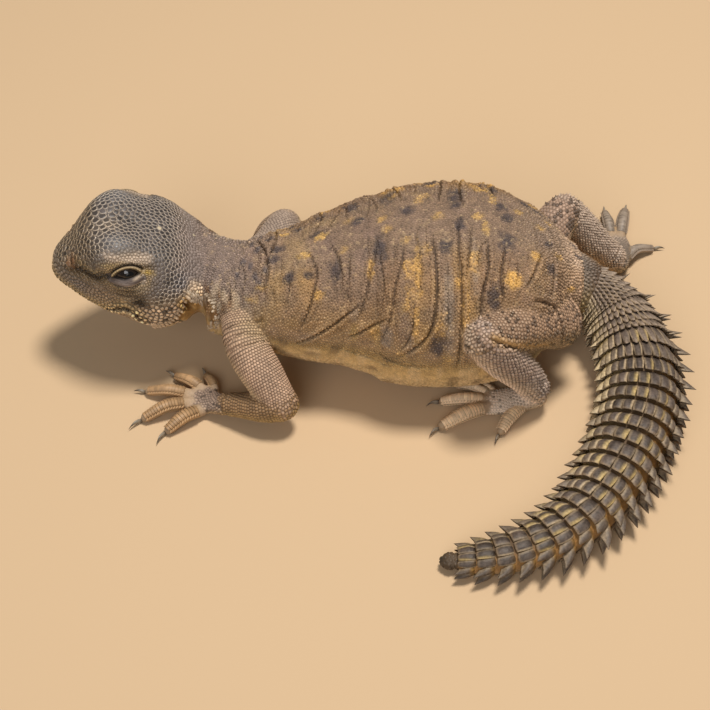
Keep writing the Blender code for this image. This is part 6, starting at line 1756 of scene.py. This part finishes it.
# ------------------------------------------------------------------ plates of the tail and toes
def patches(point, s0, ln, mid, half, k0, k1, spine, back, narrow, colour, uv_of, t_grid, q_grid, bulge=0.0, dome=0.02, skirt=0.10):
    """Curved plates on a tube. Each plate runs from s0 to s0+ln and over mid±half degrees; its rear edge is free."""
    n = len(s0)
    T, Q = np.meshgrid(t_grid, q_grid, indexing="ij")
    # one ring of skirt points round the edge
    m, w = T.shape
    Te = np.pad(T, 1, mode="edge"); Qe = np.pad(Q, 1, mode="edge")
    edge = np.zeros_like(Te); edge[0] = edge[-1] = 1; edge[:, 0] = edge[:, -1] = 1
    rear = np.zeros_like(Te); rear[-1] = 1
    A = lambda v: np.broadcast_to(np.asarray(v, float), (n,))[:, None, None]
    aq = np.abs(Qe)[None]
    t = Te[None]
    wide = 1 - A(narrow) * smoothstep(0.45, 1.0, t)
    phi = A(mid) + A(half) * Qe[None] * wide
    s = A(s0) + A(ln) * (t * (1 + A(back) * t * (1 - aq ** 1.5)) - 0.14 * rear[None])
    rise = (1 - A(bulge)) * t ** 0.8 + A(bulge) * (1 - np.clip(1 - t / 0.55, 0, 1) ** 2)
    k = A(k0) + (A(k1) - A(k0)) * rise + A(spine) * t ** 1.5 * (1 - aq ** 1.25) + A(dome) * (1 - aq ** 2) * (1 - edge[None])
    k = k - A(bulge) * 0.05 * smoothstep(0.78, 1.0, t) * (1 - np.clip(A(spine) * 6, 0, 1))
    k = k - A(skirt) * edge[None] * np.where(rear[None] > 0, 1.0, 0.75)
    X = point(s, np.radians(phi), k)
    C = colour(t, Qe[None] + 0 * s, edge[None] + 0 * s, rear[None] + 0 * s)
    U = uv_of(A(s0) + 0 * s, A(mid) + 0 * s) + 0.0015 * np.stack([2 * t + 0 * s - 1, Qe[None] + 0 * s], -1)
    M, Wd = Te.shape
    i, j = [v.ravel() for v in np.meshgrid(np.arange(M - 1), np.arange(Wd - 1), indexing="ij")]
    quad = np.column_stack([i * Wd + j, (i + 1) * Wd + j, (i + 1) * Wd + j + 1, i * Wd + j + 1])
    off = (np.arange(n) * M * Wd)[:, None, None]
    quads = (quad[None] + off).reshape(-1, 4)
    PV = X.reshape(-1, 3)
    # faces outwards: compare with the direction away from the tube's axis
    a, b, c = PV[quads[len(quads) // 2, 0]], PV[quads[len(quads) // 2, 1]], PV[quads[len(quads) // 2, 2]]
    axis = point(A(s0)[:1], np.radians(A(mid)[:1]), 0.0 * A(s0)[:1]).reshape(-1, 3)[0]
    facing = 0.0
    for f in range(0, len(quad)):
        v0, v1, v2 = PV[quad[f, 0]], PV[quad[f, 1]], PV[quad[f, 2]]
        facing += np.cross(v1 - v0, v2 - v0) @ (v0 - axis)
    if facing < 0:
        quads = quads[:, ::-1]
    return PV, quads, C.reshape(-1, 3), U.reshape(-1, 2)

TG = np.array([0, .16, .34, .52, .68, .82, .93, 1.0])
QG = np.array([-1, -.84, -.52, -.2, .2, .52, .84, 1.0])
rows = []
for k in range(WHORLS - 1):
    s0, s1 = float(whorl_start(k)), float(whorl_start(k + 1))
    ln = s1 - s0
    share = float(tail_share((s0 + s1) / 2))
    step, subs = (8.6, 3) if k < 2 else (9.6, 2) if k < 4 else (12.2, 1) if k < 7 else (15.2, 1) if k < 11 else (19.5, 1) if k < 16 else (24.0, 1) if k < 20 else (30.0, 1)
    for sub in range(subs):
        a0, ln2 = s0 + ln * sub / subs, ln / subs
        count = int(round(212 / step)) + 1
        step2 = 212 / (count - 1)
        last = sub == subs - 1
        for i in range(count):
            mid = -16 + step2 * i
            h1, h2, h3 = (float(hash01(k * 97 + i * 7 + sub * 3, v)) for v in (5, 6, 7))
            side_out = float(smoothstep(.62, .96, -math.cos(math.radians(mid))))
            side_in = float(smoothstep(.60, .97, math.cos(math.radians(mid))))
            late = float(smoothstep(0.35, 0.75, share))
            wide = 11 + 7 * late
            out1 = math.exp(-((mid - 171) / wide) ** 2) * (0.85 + 0.3 * h1) + 0.72 * math.exp(-((mid - 196) / 8) ** 2) * (0.7 + 0.5 * h2)
            in1 = math.exp(-((mid - 9) / wide) ** 2) * (0.8 + 0.4 * h1) + 0.7 * math.exp(-((mid + 16) / 8) ** 2) * (0.7 + 0.5 * h2)
            early = 1 - float(smoothstep(2.0, 7.0, k))
            spine = (0.30 + 0.28 * late + 0.14 * early) * min(out1, 1.15) + (0.15 + 0.27 * late) * min(in1, 1.1)
            if not last:
                spine *= 0.25
            top = 1 - max(side_in, side_out)
            spine += top * (0.012 + 0.020 * h3 + 0.050 * early)
            back = (0.04 + 0.20 * early) * top + (0.12 + 0.22 * late) * max(side_in, side_out) * (1 if last else .4) + 0.05 * (h2 - 0.5)
            narrow = 0.06 + 0.05 * h2 + 0.34 * early * top + 0.70 * max(min(out1, 1), min(in1, 1) * (0.6 + 0.4 * late))
            lead = -0.10 + 0.34 * side_out * (1 - 0.4 * late)
            ring = float(smoothstep(2.0, 9.0, k))
            slim = 1 - 0.10 * float(smoothstep(16.0, 23.5, k))
            lead += 0.10 * ring * (1 - side_out)
            rows.append((a0 + lead * ln2, ln2 * (1.09 - 0.14 * ring - lead + 0.05 * (h3 - 0.5)), mid, step2 * 0.5 * (0.97 if top > .5 else 1.06), ((0.845 if last and subs == 1 else 0.86) - 0.03 * side_out - 0.035 * ring) * slim,
                         ((0.975 + 0.045 * ring) if last else 0.94) * slim, spine, back, narrow, k, i, h1, h2, side_in, side_out, 0.014 + 0.020 * ring, 0.85 * ring))
    for i in range(8):
        mid = 214 + 16 * i
        rows.append((s0 - 0.1 * ln, ln * 1.04, mid, 8.3, 0.845, 0.93, 0.015, 0.04, 0.08, k, 40 + i, float(hash01(k * 9 + i, 3)), .5, 0, 0, .014, 0))
Rw = np.array(rows)
kk_, ii_, h1_, h2_, in_, out_ = (Rw[:, c][:, None, None] for c in (9, 10, 11, 12, 13, 14))

def tail_colour(t, q, edge, rear):
    n = len(Rw)
    shape = np.broadcast(t, q, kk_).shape
    flat = lambda v: np.broadcast_to(v, shape).ravel()
    t, q, edge, rear, a, b, i_, o_, k_, num = (flat(v) for v in (t, q, edge, rear, h1_, h2_, in_, out_, kk_, ii_))
    aq = np.abs(q)
    C = np.tile(col(.078, .057, .046), (len(t), 1)) * (0.55 + 0.75 * a)[:, None]
    wrinkle = vnoise(np.column_stack([q * 2.2 + num * 1.7, t * 0.5 + k_ * 3.1, k_ * 1.3]), 0.30, 73)
    blotch = vnoise(np.column_stack([q * 1.1 + num * 2.3, t * 1.4 + k_ * 1.7, k_ * 0.7 + num]), 0.42, 75)
    C = C * (1 + 0.34 * wrinkle + 0.30 * blotch)[:, None]
    C = over(C, col(.160, .125, .102), bump(t - 0.55, 0.30) * bump(q - 0.5 + b, 0.35) * 0.50)
    # front of each plate, where it lies under the whorl before, is darker: painted shade; some plates are also darker
    # towards the rear
    C = over(C, col(.040, .026, .018), smoothstep(0.40, 0.0, t) * 0.6 + smoothstep(0.72, 0.95, t) * (a > 0.5) * 0.30)
    early = (1 - smoothstep(2.0, 6.0, k_))
    C = over(C, col(.230, .168, .125), early * (0.40 + 0.40 * (b > .55)))
    C = over(C, col(.420, .320, .235), early * smoothstep(0.50, 0.90, t) * bump(aq, 0.6) * 0.80)
    # cream seams between plates, wider and yellow on some
    seam = smoothstep(0.54, 0.92, aq + 0.10 * blotch) * (0.40 + 0.60 * (b > 0.35)) * (0.50 + 0.50 * (q > 0))
    C = over(C, col(.470, .350, .215), seam * 0.88)
    yellow = (b > 0.70) & (q > 0) & (k_ > 3)
    C = over(C, col(.480, .340, .130), smoothstep(0.10, 0.8, q) * yellow * smoothstep(0.1, 0.6, t) * 0.80)
    # pale rear edge
    C = over(C, col(.350, .240, .140), smoothstep(0.86, 1.0, t) * (1 - rear) * (0.25 + 0.5 * smoothstep(6, 12, k_)))
    # inner flank cream and yellow
    C = over(C, col(.500, .385, .225), i_ * (0.50 + 0.45 * b) * smoothstep(0.1, 0.5, t) * (1 - 0.75 * smoothstep(8, 14, k_)) * (1 - 0.4 * (b < 0.3)))
    C = over(C, col(.170, .125, .090), i_ * smoothstep(8, 14, k_) * smoothstep(0.35, 0.9, t) * 0.6)
    C = over(C, col(.400, .270, .060), i_ * smoothstep(0.5, 0.1, t) * 0.7 * (1 - 0.5 * smoothstep(14, 20, k_)))
    # outer spines: grey-brown blades with pale edges, orange at the root
    C = over(C, col(.150, .112, .082), o_ * 0.60)
    C = over(C, col(.340, .255, .160), o_ * (smoothstep(0.55, 0.95, aq) * 0.5 + smoothstep(0.80, 1.0, t) * 0.25))
    C = over(C, col(.400, .210, .040), o_ * smoothstep(0.42, 0.08, t) * 0.75)
    end = smoothstep(15.5, 22.5, k_)
    C = over(C, C * 0.74 + col(.006, .004, .002), end)
    under = num >= 40
    C = np.where(under[:, None], col(.300, .215, .130) * (0.85 + 0.3 * a)[:, None], C)
    # underside of each plate's rear lip: painted shade, near black on the first whorls, orange-brown gap colour on
    # later ones
    late = smoothstep(3, 10, k_)[:, None]
    C = over(C, col(.030, .016, .008) * (1 - late) + col(.120, .056, .016) * late, rear * 0.9)
    C = over(C, col(.130, .070, .024), edge * (1 - rear) * 0.55)
    return C.reshape(shape + (3,))

tail_uv = lambda s, mid: 0.01 + 0.97 * np.stack([np.clip(s / TAIL_LONG, 0, 1), ((mid + 40) % 360) / 360], -1)
PV, q, C, U = patches(tail_points, Rw[:, 0], Rw[:, 1], Rw[:, 2], Rw[:, 3], Rw[:, 4], Rw[:, 5], Rw[:, 6], Rw[:, 7], Rw[:, 8], tail_colour, tail_uv, TG, QG,
                      dome=Rw[:, 15], skirt=0.085, bulge=Rw[:, 16])
PV[:, 2] = np.maximum(PV[:, 2], 0.03)
piece("tail_plates", PV, q, np.zeros((0, 3), int), C, MAT_PLATE, U)

# toes: cross plates on top, a pointed fringe at the sides, pads below
TV, TQ, TC, TU = [], [], [], []
base = 0
tg, qg = np.array([0, .35, .7, .92, 1.0]), np.array([-1, -.75, -.3, .3, .75, 1.0])
for num, (name, tube) in enumerate([(n, t) for n, t in TUBES.items() if n.startswith("toe")]):
    pitch = 0.40 if 'foot_right' in name else 0.46
    start = tube.long * (0.16 if "foot" in name else 0.20)
    rws = []
    for i in range(int((tube.long + 0.25 - start) / pitch)):
        s0 = start + i * pitch
        h = float(hash01(num * 31 + i, 9))
        rws.append((s0, pitch * 1.12, 90, 60, 0.955, 1.10, 0.02, 0.10, 0.05, 0, h))
        for mid in (14, 166):
            rws.append((s0, pitch * 1.10, mid, 24, 0.95, 1.06, 0.24, 0.25, 0.70, 1, h))
        rws.append((s0, pitch * 1.05, -90, 64, 0.94, 1.03, 0.0, 0.05, 0.05, 2, h))
    Tw = np.array(rws)
    kind, hh, ss = Tw[:, 9][:, None, None], Tw[:, 10][:, None, None], (Tw[:, 0] / tube.long)[:, None, None]
    # near-foot toes are paler: own pale colour with painted light
    skin_tone = col(.300, .235, .180) if 'foot_right' in name else col(.860, .630, .400) if 'foot_left' in name else col(.400, .245, .122)
    def toe_colour(t, q, edge, rear, skin_tone=skin_tone):
        shape = np.broadcast(t, q, kind).shape
        t, q, edge, rear, kd_, h_, s_ = (np.broadcast_to(v, shape).ravel() for v in (t, q, edge, rear, kind, hh, ss))
        C = np.tile(skin_tone, (len(t), 1)) * (0.80 + 0.40 * h_)[:, None]
        C = over(C, skin_tone * (0.86 if 'foot' in name else 0.62), smoothstep(0.45, 0.1, s_) * 0.6)
        C = over(C, skin_tone * 0.45, (hash01((q * 3).round() + np.arange(len(q)) // (len(tg) + 2) // (len(qg) + 2) * 7, 33) > 0.78) * (kd_ == 0) * (0.7 if 'foot_right' in name else 0.35))
        C = over(C, skin_tone * col(.80, .74, .68), smoothstep(0.72, 1.0, s_) * 0.6)
        C = over(C, skin_tone * min(1.40, .80 / skin_tone[0]), (kd_ == 1) * 0.65)
        # front of each toe plate, under the plate before, is darker: painted shade
        C = over(C, skin_tone * 0.30, smoothstep(0.36, 0.05, t) * 0.70)
        C = over(C, skin_tone * 0.55, (np.abs(q) > .5) * (hash01((t * 4).round() + (q * 9).round() * 3 + np.arange(len(q)) // 56 * 5, 34) > 0.6) * (kd_ == 0) * 0.45)
        # underside of each toe plate's rear lip: painted shade
        C = over(C, col(.080, .045, .022), rear * 0.8)
        return C.reshape(shape + (3,))
    toe_uv = lambda s, mid, num=num, tube=tube: 0.01 + 0.97 * np.stack([(num % 5 + 0.1 + 0.8 * np.clip(s / tube.long, 0, 1)) / 5, (num // 5 + 0.1 + 0.8 * ((mid + 100) % 360) / 360) / 4], -1)
    PV, q, C, U = patches(tube.points, Tw[:, 0], Tw[:, 1], Tw[:, 2], Tw[:, 3], Tw[:, 4], Tw[:, 5], Tw[:, 6], Tw[:, 7], Tw[:, 8], toe_colour, toe_uv, tg, qg,
                          dome=0.03, skirt=0.13)
    PV[:, 2] = np.maximum(PV[:, 2], 0.03)
    TV.append(PV); TQ.append(q + base); TC.append(C); TU.append(U)
    base += len(PV)
piece("toe_scales", np.vstack(TV), np.vstack(TQ), np.zeros((0, 3), int), np.vstack(TC), MAT_SCALE, np.vstack(TU))
tick("tail and toes")

# ------------------------------------------------------------------ eyes
def eye_material():
    return skin_material("eye_wet", 0.09, 0.60, [("noise", 1500, 0.02, 0.01)], tint=0.02)

MAT_EYE = eye_material()
for side_name, sgn in (("left", 1), ("right", -1)):
    at, along, above, out = EYES[sgn]
    # gaze: a little up and back
    look = unit(out * 2.55 + along * -0.62 + above * 0.42)
    e1 = unit(along - look * (along @ look))
    e2 = np.cross(look, e1)
    if e2 @ above < 0:
        e2 = -e2
    th = np.concatenate([np.linspace(0, 0.62, 30)[1:], np.linspace(0.62, math.pi, 26)[1:-1]])
    ph = np.arange(56) * 2 * math.pi / 56
    cornea = 0.16 * np.exp(-(th / 0.42) ** 2)
    R = EYE_R - 0.14 + cornea
    X = at + (R * np.sin(th))[:, None, None] * (np.cos(ph)[None, :, None] * e1 + np.sin(ph)[None, :, None] * e2) + (R * np.cos(th))[:, None, None] * look
    m, n = X.shape[:2]
    PV = np.vstack([X.reshape(-1, 3), at + look * (EYE_R - 0.14 + 0.16), at - look * (EYE_R - 0.14)])
    i, j = [v.ravel() for v in np.meshgrid(np.arange(m - 1), np.arange(n), indexing="ij")]
    k = (j + 1) % n
    quads = np.column_stack([i * n + j, (i + 1) * n + j, (i + 1) * n + k, i * n + k])
    j = np.arange(n); k = (j + 1) % n
    tris = np.vstack([np.column_stack([np.full(n, m * n), j, k]), np.column_stack([np.full(n, m * n + 1), (m - 1) * n + k, (m - 1) * n + j])])
    T2, P2 = np.repeat(th, n), np.tile(ph, m)
    T2, P2 = np.concatenate([T2, [0, math.pi]]), np.concatenate([P2, [0, 0]])
    streak = 0.5 + 0.5 * np.sin(P2 * 23 + 3 * np.sin(P2 * 5))
    C = np.tile(col(.010, .007, .005), (len(T2), 1))
    iris = smoothstep(0.27, 0.31, T2) * (1 - smoothstep(0.43, 0.48, T2))
    C = over(C, col(.026, .016, .010), iris * (0.45 + 0.55 * streak))
    C = over(C, col(.110, .066, .030), bump(T2 - 0.295, 0.020) * 0.30)
    C = over(C, col(.002, .002, .002), 1 - smoothstep(0.255, 0.28, T2))
    C = over(C, col(.028, .018, .014), smoothstep(0.48, 0.60, T2) * 0.8)
    # outward faces
    a, b, c = PV[tris[0]]
    if np.cross(b - a, c - a) @ look < 0:
        quads, tris = quads[:, ::-1], tris[:, ::-1]
    ob = piece("eyeball_" + side_name, PV, quads, tris, C, MAT_EYE)
    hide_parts("eye_" + side_name)

# ------------------------------------------------------------------ claws
CV, CQ, CT, CC = [], [], [], []
base = 0
for part, toes in TOES.items():
    for (b, k, t, r, bend) in toes:
        toe = [np.array(v, float) for v in (b, k, t)]
        toe[2][2] = min(toe[2][2], r * 0.80)
        ax = unit(toe[2] - toe[1])
        flat = unit(np.array([*bend, 0.0]))
        d0 = unit(ax + flat * 0.6)
        start = toe[2] + ax * (r * 0.86 * 0.55)
        end0 = toe[2] + ax * (r * 0.86 * 0.92 + 0.3)
        reach = math.hypot(*bend)
        q = np.linspace(-0.35, 1.0, 16)
        pts = []
        for v in q:
            w = max(v, 0.0)
            p = end0 + d0 * reach * 0.55 * v * (1.2 - 0.2 * w) + flat * reach * 0.45 * w * w
            p = np.array(p)
            p[2] = end0[2] + 0.34 * math.sin(max(v, -0.1) * 2.4) - (end0[2] - 0.20) * w * w
            pts.append(p)
        C3 = np.array(pts)
        T3, side, up = frames(C3)
        rad = CLAW_R * np.maximum(1 - 0.96 * np.clip(q, 0, 1) ** 1.5, 0.03) * np.where(q < 0, 1 + 0.25 * q, 1)
        R = section(C3, side, up, rad * 0.62, rad, rad * 0.85, np.full(16, 1.8), np.full(16, 2.4), 12, math.pi / 2)
        m, n = R.shape[:2]
        PV = np.vstack([R.reshape(-1, 3), R[0].mean(0), R[-1].mean(0)])
        PV[:, 2] = np.maximum(PV[:, 2], 0.02)
        i, j = [v.ravel() for v in np.meshgrid(np.arange(m - 1), np.arange(n), indexing="ij")]
        kk = (j + 1) % n
        quads = np.column_stack([i * n + j, i * n + kk, (i + 1) * n + kk, (i + 1) * n + j])
        j = np.arange(n); kk = (j + 1) % n
        tris = np.vstack([np.column_stack([np.full(n, m * n), kk, j]), np.column_stack([np.full(n, m * n + 1), (m - 1) * n + j, (m - 1) * n + kk])])
        cen = PV.mean(0)
        vol = (np.cross(PV[quads[:, 1]] - cen, PV[quads[:, 2]] - cen) * (PV[quads[:, 0]] - cen)).sum()
        if vol < 0:
            quads, tris = quads[:, ::-1], tris[:, ::-1]
        qq = np.concatenate([np.repeat(q, n), [q[0], q[-1]]])
        C = np.tile(col(.200, .165, .125), (len(PV), 1))
        C = over(C, col(.330, .280, .210), bump(qq - 0.25, 0.25) * 0.6)
        C = over(C, col(.045, .030, .020), smoothstep(0.45, 0.95, qq) * 0.95)
        C = over(C, col(.100, .070, .045), smoothstep(0.05, -0.3, qq) * 0.8)
        CV.append(PV); CQ.append(quads + base); CT.append(tris + base); CC.append(C)
        base += len(PV)
claws = piece("claws", np.vstack(CV), np.vstack(CQ), np.vstack(CT), np.vstack(CC), MAT_CLAW)
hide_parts(*CLAWS)

# ------------------------------------------------------------------ camera, floor, light
cam = bpy.data.objects.new("camera", bpy.data.cameras.new("camera"))
bpy.context.scene.collection.objects.link(cam)
cam.location = (-0.00354, -0.16810, 0.17258)
cam.rotation_euler = (math.radians(45), 0, 0)
cam.data.lens = 75
cam.data.sensor_width = 36
cam.data.sensor_fit = "HORIZONTAL"
cam.data.clip_start = 0.005
bpy.context.scene.camera = cam

floor_me = bpy.data.meshes.new("floor")
S = 2.0
floor_me.from_pydata([(-S, -S, 0), (S, -S, 0), (S, S, 0), (-S, S, 0)], [], [(0, 1, 2, 3)])
floor = bpy.data.objects.new("floor", floor_me)
bpy.context.scene.collection.objects.link(floor)
mf, nt, b = new_material("floor_plain")
b.inputs["Base Color"].default_value = (.59, .42, .255, 1)
b.inputs["Roughness"].default_value = 0.9
floor_me.materials.append(mf)

def area(name, at, aim, size, power, colour, shine=1.0):
    data = bpy.data.lights.new(name, "AREA")
    data.shape = "DISK"
    data.size = size
    data.energy = power
    data.color = colour
    data.specular_factor = shine
    ob = bpy.data.objects.new(name, data)
    ob.location = at
    ob.rotation_euler = (Vector(aim) - Vector(at)).to_track_quat("-Z", "Y").to_euler()
    bpy.context.scene.collection.objects.link(ob)

area("key", (0.09, 0.07, 0.60), (0, 0, 0.01), 0.15, 3.7, (1.0, 0.955, 0.89))
area("fill", (-0.20, -0.62, 0.42), (0, 0, 0.01), 0.45, 2.25, (0.98, 0.98, 1.0), 0.30)
world = bpy.data.worlds.new("studio")
bpy.context.scene.world = world
world.use_nodes = True
world.node_tree.nodes["Background"].inputs["Color"].default_value = (1.0, 0.98, 0.95, 1)
world.node_tree.nodes["Background"].inputs["Strength"].default_value = 0.165
bpy.context.scene.view_settings.view_transform = "Standard"

bpy.context.view_layer.update()
tick("pieces %s, total %d triangles" % (PIECES, sum(n for _, n in PIECES)))
